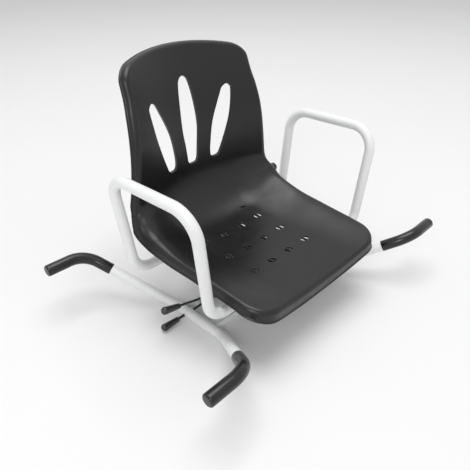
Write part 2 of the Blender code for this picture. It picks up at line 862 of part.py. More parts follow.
def make_armrest(name, side, seat):
    """One bent loop; its feet run in under the seat, and their ends take plugs."""
    corners = [
        (side * RUN_END_X, FRONT_FOOT_Y, RUN_Z),
        (side * FOOT_X, FRONT_FOOT_Y, RUN_Z),
        (side * RAIL_X, RAIL_FRONT_Y, RAIL_FRONT_Z),
        (side * RAIL_X, RAIL_REAR_Y, RAIL_REAR_Z),
        (side * FOOT_X, REAR_FOOT_Y, RUN_Z),
        (side * RUN_END_X, REAR_FOOT_Y, RUN_Z),
    ]
    path = bent_path(corners, [FOOT_BEND, RAIL_BEND, RAIL_BEND, FOOT_BEND])
    piece = as_mesh(tube(name, path, TUBE_RADIUS))
    for label, y in (("front", FRONT_FOOT_Y), ("rear", REAR_FOOT_Y)):
        screw_hole = cylinder(
            f"{name}_{label}_screw_cutter",
            (side * SEAT_SCREW_X, y, RUN_Z - 2 * TUBE_RADIUS),
            (side * SEAT_SCREW_X, y, RUN_Z + 2 * TUBE_RADIUS),
            SCREW_HOLE_RADIUS,
            SMALL_STEPS,
        )
        cut(piece, screw_hole, seat)
        bolt_hole = cylinder(
            f"{name}_{label}_bolt_cutter",
            (side * CARRIER_BOLT_X, y, RUN_Z - 2 * TUBE_RADIUS),
            (side * CARRIER_BOLT_X, y, CARRIER_TOP_Z + CARRIER_BOLT_BITE + TIP_GAP),
            SCREW_HOLE_RADIUS,
            SMALL_STEPS,
        )
        cut(piece, bolt_hole, seat)
        plug_bore = cylinder(
            f"{name}_{label}_plug_cutter",
            (side * (RUN_END_X - PLUG_DEPTH), y, RUN_Z),
            (side * (RUN_END_X + PLUG_DEPTH + TIP_GAP), y, RUN_Z),
            TUBE_RADIUS - TUBE_WALL,
            SMALL_STEPS,
        )
        cut(piece, plug_bore, seat)
    return finish(piece, "white powder coat", seat)


def make_end_plug(name, side, y, seat):
    """A plug in the inner end of one foot: a flat head and a stem in the tube."""
    stem = TUBE_RADIUS - TUBE_WALL - FIT
    profile = (
        (0.0, PLUG_FLANGE + FIT),
        (TUBE_RADIUS, PLUG_FLANGE + FIT),
        (TUBE_RADIUS, FIT),
        (stem, FIT),
        (stem, -PLUG_DEPTH),
        (0.0, -PLUG_DEPTH),
    )
    place = (side * RUN_END_X, y, RUN_Z)
    piece = turned(name, profile, place, (-side, 0, 0), SMALL_STEPS)
    return finish(piece, "black grip plastic", seat)


def make_screw_mesh(name, shank_length):
    """A button-head screw, head down, with a hexagonal socket; its head starts at the origin."""
    profile = (
        (0.0, shank_length),
        (SCREW_RADIUS, shank_length),
        (SCREW_RADIUS, 0.0),
        (HEAD_RADIUS, 0.0),
        (HEAD_RADIUS, -HEAD_HEIGHT),
        (0.0, -HEAD_HEIGHT),
    )
    screw = turned(name, profile, steps=SMALL_STEPS)
    socket = cylinder(
        name + "_socket",
        (0.0, 0.0, -2 * HEAD_HEIGHT),
        (0.0, 0.0, -HEAD_HEIGHT + SOCKET_DEPTH),
        SOCKET_RADIUS,
        6,
    )
    boolean = screw.modifiers.new("Socket", "BOOLEAN")
    boolean.object = socket
    baked = as_mesh(screw)
    mesh = baked.data
    bpy.data.objects.remove(baked, do_unlink=True)
    bpy.data.objects.remove(socket, do_unlink=True)
    return mesh


def corner_name(x, y):
    return f"{'front' if y < 0 else 'rear'}_{'left' if x > 0 else 'right'}"


def copy_of(name, mesh, place, parent, material):
    item = bpy.data.objects.new(name, mesh)
    item.location = place
    PARTS.objects.link(item)
    return finish(item, material, parent)


def make_fasteners(seat):
    """Seat screws with washers under the armrest feet, and bolts under the carrier plate."""
    under_run = RUN_Z - TUBE_RADIUS - FIT
    head_z = under_run - SCREW_WASHER_THICKNESS - FIT
    screw_mesh = make_screw_mesh("seat_screw", BOSS_BOTTOM_Z + SEAT_SCREW_BITE - head_z)
    bolt_head_z = CARRIER_BOTTOM_Z - FIT
    bolt_mesh = make_screw_mesh("carrier_bolt", CARRIER_TOP_Z + CARRIER_BOLT_BITE - bolt_head_z)
    for x, y in seat_screw_places():
        label = corner_name(x, y)
        copy_of(f"seat_screw_{label}", screw_mesh, (x, y, head_z), seat, "zinc plated steel")
        washer = turned(
            f"seat_screw_washer_{label}",
            (
                (WASHER_RADIUS, SCREW_WASHER_THICKNESS),
                (WASHER_RADIUS, 0.0),
                (SCREW_HOLE_RADIUS, 0.0),
                (SCREW_HOLE_RADIUS, SCREW_WASHER_THICKNESS),
            ),
            (x, y, head_z + FIT),
            steps=SMALL_STEPS,
        )
        finish(washer, "zinc plated steel", seat)
    for x, y in carrier_bolt_places():
        label = corner_name(x, y)
        copy_of(f"armrest_bolt_{label}", bolt_mesh, (x, y, bolt_head_z), seat, "zinc plated steel")


# Seat lock

def make_pin_guide(seat):
    piece = ring(
        "index_pin_guide",
        GUIDE_BORE,
        GUIDE_BORE + GUIDE_WALL,
        UNDER_CARRIER_Z - GUIDE_LENGTH,
        UNDER_CARRIER_Z,
        (PIN_X, PIN_Y, 0.0),
        steps=SMALL_STEPS,
    )
    return finish(piece, "zinc plated steel", seat)


def make_lever_bracket(seat):
    """A folded bracket under the carrier plate: a web and two ears for the pivot."""
    top = UNDER_CARRIER_Z
    low = PIVOT_Z - BRACKET_BELOW_PIVOT
    left = PIVOT_X - BRACKET_HALF_X
    right = PIVOT_X + BRACKET_HALF_X
    piece = box(
        "lever_bracket",
        (left, PIN_Y - EAR_OUTER_Y, low),
        (right, PIN_Y + EAR_OUTER_Y, top),
    )
    between = box(
        "lever_bracket_gap_cutter",
        (left - BRACKET_HALF_X, PIN_Y - EAR_INNER_Y, low - BRACKET_HALF_X),
        (right + BRACKET_HALF_X, PIN_Y + EAR_INNER_Y, top - BRACKET_THICKNESS),
    )
    cut(piece, between, seat)
    hole = cylinder(
        "lever_bracket_hole_cutter",
        (PIVOT_X, PIN_Y - 2 * EAR_OUTER_Y, PIVOT_Z),
        (PIVOT_X, PIN_Y + 2 * EAR_OUTER_Y, PIVOT_Z),
        PIVOT_HOLE,
        SMALL_STEPS,
    )
    cut(piece, hole, seat)
    return finish(piece, "zinc plated steel", seat)


def make_pivot_pin(seat):
    """The pin lies along Y with its head at the front and a clip at the rear."""
    head = EAR_OUTER_Y + FIT
    tail = EAR_OUTER_Y + 2 * FIT + 2 * CLIP_THICKNESS
    profile = (
        (0.0, head + PIVOT_HEAD),
        (PIVOT_HEAD_RADIUS, head + PIVOT_HEAD),
        (PIVOT_HEAD_RADIUS, head),
        (PIVOT_RADIUS, head),
        (PIVOT_RADIUS, -tail),
        (0.0, -tail),
    )
    place = (PIVOT_X, PIN_Y, PIVOT_Z)
    pin = turned("lever_pivot_pin", profile, place, (0, -1, 0), SMALL_STEPS)
    finish(pin, "zinc plated steel", seat)
    clip_start = -EAR_OUTER_Y - FIT
    clip = turned(
        "lever_pivot_clip",
        (
            (PIVOT_HEAD_RADIUS, clip_start),
            (PIVOT_HEAD_RADIUS, clip_start - CLIP_THICKNESS),
            (PIVOT_HOLE, clip_start - CLIP_THICKNESS),
            (PIVOT_HOLE, clip_start),
        ),
        place,
        (0, -1, 0),
        SMALL_STEPS,
    )
    finish(clip, "spring steel", seat)


def lever_rise():
    """The direction in which the lever rises from its elbow to its tip."""
    return Vector((LEVER_TIP_X - LEVER_ELBOW_X, 0.0, LEVER_TIP_Z - PIVOT_Z)).normalized()


def lever_grip_start():
    return Vector((LEVER_TIP_X, PIN_Y, LEVER_TIP_Z)) - lever_rise() * GRIP_LENGTH


def make_lever(lever):
    """From the pivot sleeve, level through the pin, then up and out into the grip."""
    corners = [
        (PIVOT_X - (LEVER_SLEEVE_RADIUS + PIVOT_HOLE) / 2, PIN_Y, PIVOT_Z),
        (LEVER_ELBOW_X, PIN_Y, PIVOT_Z),
        lever_grip_start() + lever_rise() * GRIP_SOCKET,
    ]
    path = bent_path(corners, [LEVER_BEND])
    rod = as_mesh(tube("lever_arm_guide", path, LEVER_RADIUS, 3))
    half = LEVER_SLEEVE_WIDTH / 2
    place = (PIVOT_X, PIN_Y, PIVOT_Z)
    sleeve = (PIVOT_HOLE, LEVER_SLEEVE_RADIUS, -half, half)
    piece = ring("lock_lever_rod", *sleeve, place, (0, 1, 0), SMALL_STEPS)
    join(piece, rod, lever)
    return finish(piece, "zinc plated steel", lever)


def make_grip(name, start, direction, rod_radius, parent):
    """A tapered grip with a round end, bored at its neck for the rod."""
    angles = [math.radians(angle) for angle in (0, 22.5, 45, 67.5, 90)]
    flat = GRIP_RADIUS - GRIP_ROUNDING
    nose = [
        (flat + GRIP_ROUNDING * math.sin(a), GRIP_LENGTH - GRIP_ROUNDING * (1 - math.cos(a)))
        for a in angles
    ]
    bore = rod_radius + FIT
    neck = [
        (GRIP_NECK_RADIUS, GRIP_NECK_ROUNDING),
        (GRIP_NECK_RADIUS - GRIP_NECK_ROUNDING, 0.0),
        (bore, 0.0),
        (bore, GRIP_SOCKET + FIT),
        (0.0, GRIP_SOCKET + FIT),
    ]
    piece = turned(name, [(0.0, GRIP_LENGTH)] + nose + neck, start, direction, SMALL_STEPS)
    return finish(piece, "black grip plastic", parent)


def make_lever_grip(lever):
    return make_grip("lock_lever_grip", lever_grip_start(), lever_rise(), LEVER_RADIUS, lever)


def make_index_pin(pin):
    """The pin, slotted across for the lever and chamfered at its foot."""
    profile = (
        (0.0, PIN_LENGTH),
        (PIN_RADIUS, PIN_LENGTH),
        (PIN_RADIUS, FIT * 3),
        (PIN_RADIUS - FIT * 3, 0.0),
        (0.0, 0.0),
    )
    piece = turned("index_pin", profile, (PIN_X, PIN_Y, PIN_BOTTOM_Z), steps=SMALL_STEPS)
    slot = box(
        "index_pin_slot_cutter",
        (PIN_X - 2 * PIN_RADIUS, PIN_Y - PIN_SLOT_WIDTH / 2, PIVOT_Z - PIN_SLOT_HEIGHT / 2),
        (PIN_X + 2 * PIN_RADIUS, PIN_Y + PIN_SLOT_WIDTH / 2, PIVOT_Z + PIN_SLOT_HEIGHT / 2),
    )
    cut(piece, slot, pin)
    return finish(piece, "zinc plated steel", pin)


# Pull rod that retains the spindle

def make_retainer_rod(retainer):
    """The rod, with a collar for the spring and a slotted end for the fork's tongue."""
    collar_end = COLLAR_FACE_X + ROD_COLLAR_LENGTH
    outer_end = ROD_GRIP_START_X - GRIP_SOCKET
    profile = (
        (0.0, ROD_END_X),
        (ROD_RADIUS, ROD_END_X),
        (ROD_RADIUS, collar_end),
        (ROD_COLLAR_RADIUS, collar_end),
        (ROD_COLLAR_RADIUS, COLLAR_FACE_X),
        (ROD_RADIUS, COLLAR_FACE_X),
        (ROD_RADIUS, outer_end),
        (0.0, outer_end),
    )
    piece = turned("retainer_rod", profile, (0.0, ROD_Y, CRADLE_Z), (1, 0, 0), SMALL_STEPS)
    half_slot = FORK_THICKNESS / 2 + FIT
    slot = box(
        "retainer_rod_slot_cutter",
        (FORK_TONGUE_X - FIT, ROD_Y - 2 * ROD_RADIUS, CRADLE_Z - half_slot),
        (ROD_END_X + ROD_RADIUS, ROD_Y + 2 * ROD_RADIUS, CRADLE_Z + half_slot),
    )
    cut(piece, slot, retainer)
    return finish(piece, "zinc plated steel", retainer)


def make_retainer_grip(retainer):
    start = (ROD_GRIP_START_X, ROD_Y, CRADLE_Z)
    return make_grip("retainer_grip", start, (-1, 0, 0), ROD_RADIUS, retainer)


def make_fork(retainer):
    """A flat U that sits in the spindle's groove, with a tongue into the rod."""
    tongue_low = ROD_Y - FORK_TONGUE_HALF_Y
    tongue_high = ROD_Y + FORK_TONGUE_HALF_Y
    outline = [
        (FORK_TIP_X, FORK_SLOT),
        (FORK_TIP_X, FORK_HALF_Y),
        (FORK_TAIL_X + FORK_SLANT, FORK_HALF_Y),
        (FORK_TAIL_X, tongue_high),
        (FORK_TONGUE_X, tongue_high),
        (FORK_TONGUE_X, tongue_low),
        (FORK_TAIL_X - FORK_SLANT, tongue_low),
        (FORK_TAIL_X, tongue_low - FORK_GUSSET),
        (FORK_TAIL_X, -FORK_HALF_Y),
        (FORK_TIP_X, -FORK_HALF_Y),
        (FORK_TIP_X, -FORK_SLOT),
    ]
    for step in range(FORK_ARC_STEPS + 1):
        angle = math.radians(270 - 180 * step / FORK_ARC_STEPS)
        outline.append((FORK_SLOT * math.cos(angle), FORK_SLOT * math.sin(angle)))
    bottom = CRADLE_Z - FORK_THICKNESS / 2
    piece = plate("retainer_fork", [outline], bottom, FORK_THICKNESS)
    return finish(as_mesh(piece), "zinc plated steel", retainer)


def make_spring(retainer):
    """A compression spring round the rod, between the guide bracket and the collar."""
    start = GUIDE_TAB_X + FIT + SPRING_WIRE
    end = COLLAR_FACE_X - FIT - SPRING_WIRE
    points_a_turn = 8
    count = SPRING_TURNS * points_a_turn
    path = []
    for step in range(count + 1):
        angle = math.tau * step / points_a_turn
        x = start + (end - start) * step / count
        y = ROD_Y + SPRING_RADIUS * math.cos(angle)
        z = CRADLE_Z + SPRING_RADIUS * math.sin(angle)
        path.append(Vector((x, y, z)))
    middles = zip(path, path[points_a_turn:])
    gap = min((after - before).length for before, after in middles) - 2 * SPRING_WIRE
    print(f"retainer_spring: least gap between turns {gap * 1000:.2f} mm")
    return finish(tube("retainer_spring", path, SPRING_WIRE, 1), "spring steel", retainer)


# Seat shell

def eased(keys, distance):
    """Read a value from (distance, value) keys, on a smooth curve through them."""
    if distance <= keys[0][0]:
        return keys[0][1]
    if distance >= keys[-1][0]:
        return keys[-1][1]
    index = max(i for i, key in enumerate(keys[:-1]) if key[0] <= distance)
    start, low = keys[index]
    end, high = keys[index + 1]
    span = end - start
    rate = (high - low) / span
    rate_in = rate if index == 0 else (high - keys[index - 1][1]) / (end - keys[index - 1][0])
    rate_out = rate if index + 2 == len(keys) else (keys[index + 2][1] - low) / (keys[index + 2][0] - start)
    t = (distance - start) / span
    ends = low * (1 - 3 * t**2 + 2 * t**3) + high * (3 * t**2 - 2 * t**3)
    return ends + span * (rate_in * (t - 2 * t**2 + t**3) + rate_out * (t**3 - t**2))


def linear(keys, distance):
    """Read a value from (distance, value) keys, in straight steps between them."""
    for (start, low), (end, high) in zip(keys, keys[1:]):
        if distance <= end:
            return low + (high - low) * (distance - start) / (end - start)
    return keys[-1][1]


def walk_centre_line(step=0.001):
    """Walk the centre line by its slopes, from beyond the front edge to beyond the top."""
    y = SEAT_FRONT_Y
    z = SEAT_FRONT_Z
    stations = [(y, z, math.radians(linear(SEAT_SLOPES, 0.0)))]
    for index in range(1, round(SEAT_LENGTH / step) + 1):
        slope = math.radians(linear(SEAT_SLOPES, (index - 0.5) * step))
        y += step * math.cos(slope)
        z += step * math.sin(slope)
        stations.append((y, z, math.radians(linear(SEAT_SLOPES, index * step))))
    return stations, step


CENTRE_LINE, CENTRE_STEP = walk_centre_line()


def centre_line(distance):
    """Place and slope of the centre line; it runs straight on past its ends."""
    index = min(max(int(distance / CENTRE_STEP), 0), len(CENTRE_LINE) - 1)
    y, z, slope = CENTRE_LINE[index]
    rest = distance - index * CENTRE_STEP
    return y + rest * math.cos(slope), z + rest * math.sin(slope), slope


def seat_point(distance, x, drop=0.0):
    """A point of the seat's upper surface, or drop below it."""
    y, z, slope = centre_line(distance)
    dished = 0.5 * eased(SEAT_DISHING, distance) * x * x
    across = abs(x) / eased(SEAT_HALF_WIDTHS, distance)
    curl = min(max(0.0, (across - EDGE_RISE_START) / (1 - EDGE_RISE_START)), 1.0)
    curled = eased(SEAT_EDGE_RISE, distance) * curl * curl * (3 - 2 * curl)
    rise = dished + curled - drop
    return Vector((x, y - math.sin(slope) * rise, z + math.cos(slope) * rise))


def station_at(level, x, axis=1, low=0.0, high=PAN_LENGTH + TURN_LENGTH / 2):
    """The distance, between two others, at which the surface passes a level of y or z."""
    for _ in range(40):
        middle = (low + high) / 2
        if seat_point(middle, x)[axis] < level:
            low = middle
        else:
            high = middle
    return (low + high) / 2


def row_distances():
    """Distances of the mesh rows, close together round the corners and up the turn."""
    quarter = math.pi / 2
    front = [FRONT_CORNER * (1 - math.cos(quarter * i / CORNER_ROWS)) for i in range(CORNER_ROWS)]
    top = [TOP_CORNER * (1 - math.cos(quarter * i / CORNER_ROWS)) for i in range(CORNER_ROWS)]
    pan = [FRONT_CORNER + (PAN_LENGTH - FRONT_CORNER) * i / PAN_ROWS for i in range(PAN_ROWS)]
    turn = [PAN_LENGTH + TURN_LENGTH * i / TURN_ROWS for i in range(TURN_ROWS)]
    back_start = PAN_LENGTH + TURN_LENGTH
    back_run = BACK_LENGTH - TOP_CORNER
    back = [back_start + back_run * i / BACK_ROWS for i in range(BACK_ROWS + 1)]
    return front + pan + turn + back + [SEAT_LENGTH - step for step in reversed(top)]


def row_half_width(distance):
    """Half width of a row, drawn in where the row crosses a rounded corner."""
    width = eased(SEAT_HALF_WIDTHS, distance)
    for radius, from_end in ((FRONT_CORNER, distance), (TOP_CORNER, SEAT_LENGTH - distance)):
        if from_end < radius:
            width -= radius - math.sqrt(radius**2 - (radius - from_end) ** 2)
    return width


def sheet_place(distance, share):
    """Where a mesh point lies: its distance along the sheet and its x."""
    spread = (1 - EDGE_CROWDING) * share + EDGE_CROWDING * math.sin(share * math.pi / 2)
    x = spread * row_half_width(distance)
    across = (x / eased(SEAT_HALF_WIDTHS, distance)) ** 2
    near_front = max(0.0, 1 - distance / FRONT_BOW_REACH)
    near_top = max(0.0, 1 - (SEAT_LENGTH - distance) / TOP_ARCH_REACH)
    bowed = distance - FRONT_BOW * across * near_front - TOP_ARCH * across * near_top
    return bowed, x


def rim_up(distance, x):
    """The direction that the rim falls away from: square to the dished sheet, its curl left out."""
    slope = centre_line(distance)[2]
    lean = math.atan(eased(SEAT_DISHING, distance) * x)
    across = math.sin(lean)
    upright = math.cos(lean)
    return Vector((-across, -math.sin(slope) * upright, math.cos(slope) * upright))


def boundary_loop(shape):
    """The sheet's edge vertices in order, anticlockwise as seen from above."""
    edges = [edge for edge in shape.edges if edge.is_boundary]
    start = min((vert for edge in edges for vert in edge.verts), key=lambda v: (v.co.y, v.co.x))
    onward = [edge.other_vert(start) for edge in start.link_edges if edge.is_boundary]
    loop = [start, max(onward, key=lambda vert: vert.co.x)]
    while True:
        steps = [edge.other_vert(loop[-1]) for edge in loop[-1].link_edges if edge.is_boundary]
        nearer = [vert for vert in steps if vert is not loop[-2]]
        if nearer[0] is start:
            return loop
        loop.append(nearer[0])


def rim_step(step, distance):
    """How far out and down one ring of the rim lies: round the roll, then the skirt and its flare."""
    radius = RIM_RADIUS + eased(RIM_SWELLS, distance)
    foot = radius + linear(RIM_DROPS, distance)
    if step == RIM_STEPS + 1:
        return radius, foot - RIM_FLARE_HEIGHT
    if step == RIM_STEPS + 2:
        return radius + RIM_FLARE, foot
    angle = step / RIM_STEPS * math.pi / 2
    return radius * math.sin(angle), radius * (1 - math.cos(angle))


def make_sheet():
    """The open upper surface of the seat, with its rolled rim."""
    rows = row_distances()
    shape = bmesh.new()
    bmesh.ops.create_grid(shape, x_segments=COLUMNS, y_segments=len(rows) - 1, size=1.0)
    places = {}
    for vert in shape.verts:
        row = round((vert.co.y + 1) / 2 * (len(rows) - 1))
        places[vert] = sheet_place(rows[row], vert.co.x)
    for vert, place in places.items():
        vert.co = seat_point(*place)
    if sum(face.normal.z for face in shape.faces) < 0:
        bmesh.ops.reverse_faces(shape, faces=shape.faces)
    loop = boundary_loop(shape)
    normals = [rim_up(*places[vert]) for vert in loop]
    distances = [min(max(places[vert][0], 0.0), SEAT_LENGTH) for vert in loop]
    count = len(loop)
    starts = [vert.co.copy() for vert in loop]
    outwards = []
    for index in range(count):
        along = starts[(index + 1) % count] - starts[index - 1]
        outwards.append(along.cross(normals[index]).normalized())
    rings = [loop]
    for step in range(1, RIM_STEPS + 3):
        verts = []
        for index in range(count):
            reach, fall = rim_step(step, distances[index])
            point = starts[index] + outwards[index] * reach - normals[index] * fall
            verts.append(shape.verts.new(point))
        rings.append(verts)
    for inner, outer in zip(rings, rings[1:]):
        for index in range(count):
            onward = (index + 1) % count
            shape.faces.new((inner[onward], inner[index], outer[index], outer[onward]))
    return shape


def make_bosses():
    """Four bosses that stand on the armrest feet and end inside the sheet."""
    shape = bmesh.new()
    for x, y in seat_screw_places():
        made = bmesh.ops.create_cone(
            shape,
            cap_ends=True,
            segments=BOSS_SIDES,
            radius1=BOSS_RADIUS,
            radius2=BOSS_RADIUS,
            depth=1.0,
        )
        for vert in made["verts"]:
            vert.co.x += x
            vert.co.y += y
            if vert.co.z < 0:
                vert.co.z = BOSS_BOTTOM_Z
            else:
                distance = station_at(vert.co.y, vert.co.x)
                vert.co.z = seat_point(distance, vert.co.x, SHELL_THICKNESS / 2).z
    return mesh_object("seat_boss_guide", shape)


def make_drain_cutter():
    """Two half-round prisms for each drain, one on either side of its bar."""
    reach = math.acos(DRAIN_BAR / 2 / DRAIN_RADIUS)
    angles = [reach * (2 * step / DRAIN_ARC_STEPS - 1) for step in range(DRAIN_ARC_STEPS + 1)]
    shape = bmesh.new()
    for x in DRAIN_XS:
        for y in DRAIN_YS:
            top = seat_point(station_at(y, x), x).z
            for side in (-DRAIN_RADIUS, DRAIN_RADIUS):
                outline = [(x + side * math.cos(angle), y + side * math.sin(angle)) for angle in angles]
                low = [shape.verts.new((*place, top - 3 * SHELL_THICKNESS)) for place in outline]
                face = shape.faces.new(low)
                swept = bmesh.ops.extrude_face_region(shape, geom=[face])
                moved = [item for item in swept["geom"] if isinstance(item, bmesh.types.BMVert)]
                bmesh.ops.translate(shape, vec=(0.0, 0.0, 4 * SHELL_THICKNESS), verts=moved)
    bmesh.ops.recalc_face_normals(shape, faces=shape.faces)
    return mesh_object("seat_drain_cutter", shape)


def slot_outlines():
    """The back's three slots as (x, z); each starts at its foot, and its two sides have as many points."""
    half = smooth_outline(MIDDLE_SLOT, SLOT_CURVE_STEPS, closed=False)
    middle = half + [(-x, z) for x, z in reversed(half[1:-1])]
    left = smooth_outline(OUTER_SLOT, SLOT_CURVE_STEPS, closed=True)
    right = [(-x, z) for x, z in left[:1] + left[:0:-1]]
    return middle, left, right


def widened(outline, reach):
    """A closed outline moved outwards by a reach."""
    count = len(outline)
    area = sum(outline[i - 1][0] * outline[i][1] - outline[i][0] * outline[i - 1][1] for i in range(count))
    turn = math.copysign(reach, area)
    moved = []
    for index, (x, z) in enumerate(outline):
        before = outline[index - 1]
        after = outline[(index + 1) % count]
        run = math.hypot(after[0] - before[0], after[1] - before[1])
        moved.append((x + turn * (after[1] - before[1]) / run, z - turn * (after[0] - before[0]) / run))
    return moved


def make_slot_collars():
    """The collars behind the slots, still filled; the slot cutter opens them."""
    shape = bmesh.new()
    for outline in slot_outlines():
        fronts = []
        rears = []
        for x, z in widened(outline, SLOT_COLLAR_WALL):
            y = seat_point(station_at(z, x, 2, PAN_LENGTH, SEAT_LENGTH), x).y
            fronts.append(shape.verts.new((x, y + SHELL_THICKNESS / 2, z)))
            rears.append(shape.verts.new((x, y + SLOT_COLLAR_DEPTH, z)))
        count = len(outline)
        for index in range(count):
            onward = (index + 1) % count
            shape.faces.new((fronts[index], fronts[onward], rears[onward], rears[index]))
        for ends in (fronts, rears):
            for index in range(count // 2):
                across = (index, index + 1, count - index - 1, (count - index) % count)
                shape.faces.new([ends[corner] for corner in dict.fromkeys(across)])
    bmesh.ops.recalc_face_normals(shape, faces=shape.faces)
    return mesh_object("seat_slot_collars", shape)


def make_slot_cutter():
    """Three prisms in the shape of the back's slots."""
    shape = bmesh.new()
    for outline in slot_outlines():
        face = shape.faces.new([shape.verts.new((x, SLOT_CUT_FRONT_Y, z)) for x, z in outline])
        swept = bmesh.ops.extrude_face_region(shape, geom=[face])
        moved = [item for item in swept["geom"] if isinstance(item, bmesh.types.BMVert)]
        travel = (0.0, SLOT_CUT_REAR_Y - SLOT_CUT_FRONT_Y, 0.0)
        bmesh.ops.translate(shape, vec=travel, verts=moved)
    bmesh.ops.recalc_face_normals(shape, faces=shape.faces)
    return mesh_object("seat_slot_cutter", shape)


def make_screw_hole_cutter():
    """Blind holes up into the four bosses."""
    shape = bmesh.new()
    tip = BOSS_BOTTOM_Z + SEAT_SCREW_BITE + TIP_GAP
    for x, y in seat_screw_places():
        made = bmesh.ops.create_cone(
            shape,
            cap_ends=True,
            segments=SMALL_STEPS,
            radius1=SCREW_HOLE_RADIUS,
            radius2=SCREW_HOLE_RADIUS,
            depth=1.0,
        )
        for vert in made["verts"]:
            vert.co.x += x
            vert.co.y += y
            vert.co.z = RUN_Z if vert.co.z < 0 else tip
    return mesh_object("seat_screw_hole_cutter", shape)


def make_seat_shell(seat):
    piece = mesh_object("seat_shell", make_sheet())
    solidify = piece.modifiers.new("Wall", "SOLIDIFY")
    solidify.thickness = SHELL_THICKNESS
    solidify.offset = -1.0
    solidify.use_even_offset = True
    join(piece, make_bosses(), seat)
    join(piece, make_slot_collars(), seat)
    cut(piece, make_screw_hole_cutter(), seat)
    cut(piece, make_drain_cutter(), seat)
    cut(piece, make_slot_cutter(), seat)
    return finish(piece, "black seat plastic", seat)


# The whole seat

def build():
    base = joint_empty("base_frame", (0.0, 0.0, 0.0))
    seat = joint_empty("swivel_axis", (0.0, 0.0, 0.0), base)
    lever = joint_empty("lever_axis", (PIVOT_X, PIN_Y, PIVOT_Z), seat)
    pin = joint_empty("index_pin_axis", (PIN_X, PIN_Y, PIN_BOTTOM_Z), seat)
    retainer = joint_empty("retainer_axis", (0.0, ROD_Y, CRADLE_Z), base)

    for label, side in (("right", -1), ("left", 1)):
        make_side_tube(f"side_tube_{label}", side, base)
        make_rim_sleeve(f"rim_sleeve_front_{label}", side, -1, base)
        make_rim_sleeve(f"rim_sleeve_rear_{label}", side, 1, base)
        make_armrest(f"armrest_{label}", side, seat)
        make_end_plug(f"armrest_plug_front_{label}", side, FRONT_FOOT_Y, seat)
        make_end_plug(f"armrest_plug_rear_{label}", side, REAR_FOOT_Y, seat)
    make_tray(base)
    make_hub(base)
    make_index_plate(base)
    make_bushes(base)
    make_rod_bush(base)
    make_rod_guide(base)

    make_spindle(seat)
    make_carrier_plate(seat)
    make_fasteners(seat)
    make_seat_shell(seat)
    make_pin_guide(seat)
    make_lever_bracket(seat)
    make_pivot_pin(seat)
    make_lever(lever)
    make_lever_grip(lever)
    make_index_pin(pin)

    make_retainer_rod(retainer)
    make_retainer_grip(retainer)
    make_fork(retainer)
    make_spring(retainer)


build()
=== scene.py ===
import math

import bmesh
import bpy
from bpy.props import FloatProperty, FloatVectorProperty, IntProperty, PointerProperty
from mathutils import Matrix, Vector
from mathutils.geometry import delaunay_2d_cdt


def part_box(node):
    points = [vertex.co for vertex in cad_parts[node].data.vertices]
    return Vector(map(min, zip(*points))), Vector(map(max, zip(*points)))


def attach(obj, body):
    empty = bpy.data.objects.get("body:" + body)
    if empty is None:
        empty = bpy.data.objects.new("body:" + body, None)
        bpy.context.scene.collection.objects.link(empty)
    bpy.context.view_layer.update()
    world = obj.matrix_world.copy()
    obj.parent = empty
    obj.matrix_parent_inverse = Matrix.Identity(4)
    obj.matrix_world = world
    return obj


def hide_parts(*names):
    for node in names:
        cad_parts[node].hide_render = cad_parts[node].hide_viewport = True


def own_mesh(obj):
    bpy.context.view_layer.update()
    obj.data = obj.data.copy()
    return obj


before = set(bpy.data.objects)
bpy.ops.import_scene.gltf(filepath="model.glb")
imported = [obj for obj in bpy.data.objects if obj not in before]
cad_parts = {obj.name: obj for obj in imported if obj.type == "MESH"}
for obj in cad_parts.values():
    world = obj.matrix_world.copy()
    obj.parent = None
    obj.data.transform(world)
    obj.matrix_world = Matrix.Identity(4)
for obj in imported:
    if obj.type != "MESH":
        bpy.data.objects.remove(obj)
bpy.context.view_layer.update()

bl_info = {
    "name": "Swivel bath seat",
    "version": (1, 0, 0),
    "blender": (4, 5, 0),
    "location": "3D View > Sidebar > Bath Seat",
    "description": "Builds a swivel bath seat, its base and its stage piece by piece",
    "category": "Object",
}

Y_AXIS = 1
Z_AXIS = 2
SIDES = (("right", -1), ("left", 1))
ENDS = (("front", -1), ("rear", 1))

# Clearance between neighbouring pieces
GAP = 0.0003

# Levels that come from the frame
TRAY_BOTTOM_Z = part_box("base_tray")[0].z
HUB_LOW, HUB_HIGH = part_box("hub_tube")
INDEX_LOW, INDEX_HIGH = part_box("index_plate")
CARRIER_LOW, CARRIER_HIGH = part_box("seat_carrier_plate")

# Bent tube of the base and the armrests
HOOK_END_X = 0.362
HOOK_CORNER_X = 0.279
HOOK_Y = 0.242
HOOK_Z = 0.0125
CRADLE_X = 0.173
CRADLE_Y = 0.080
CRADLE_Z = -0.0925
HOOK_BEND = 0.060
CRADLE_BEND = 0.045
SLEEVE_ARM_LENGTH = 0.068
RUN_Z = 0.0105
RUN_END_X = 0.022
FOOT_X = 0.2355
FRONT_FOOT_Y = -0.112
REAR_FOOT_Y = 0.110
RAIL_X = 0.266
RAIL_FRONT_Y = -0.118
RAIL_REAR_Y = 0.111
RAIL_FRONT_Z = 0.2415
RAIL_REAR_Z = 0.238
FOOT_BEND = 0.045
RAIL_BEND = 0.050
BEND_STEPS = 16
TUBE_END_ROUNDING = 0.0005
SLEEVE_MOUTH_ROUNDING = 0.0007
PLUG_FLANGE = 0.002
PLUG_ROUNDING = 0.0008

# Tray
TRAY_HALF_Y = 0.050
TRAY_WALL = 0.003
TRAY_FLANGE_HEIGHT = 0.0145
TRAY_FOLD = 0.0045
TRAY_TRIM = 0.005
TRAY_CORNER = 0.0008
TRAY_EDGE_BREAK = 0.0005
COPE_HALF_LENGTH = 0.1

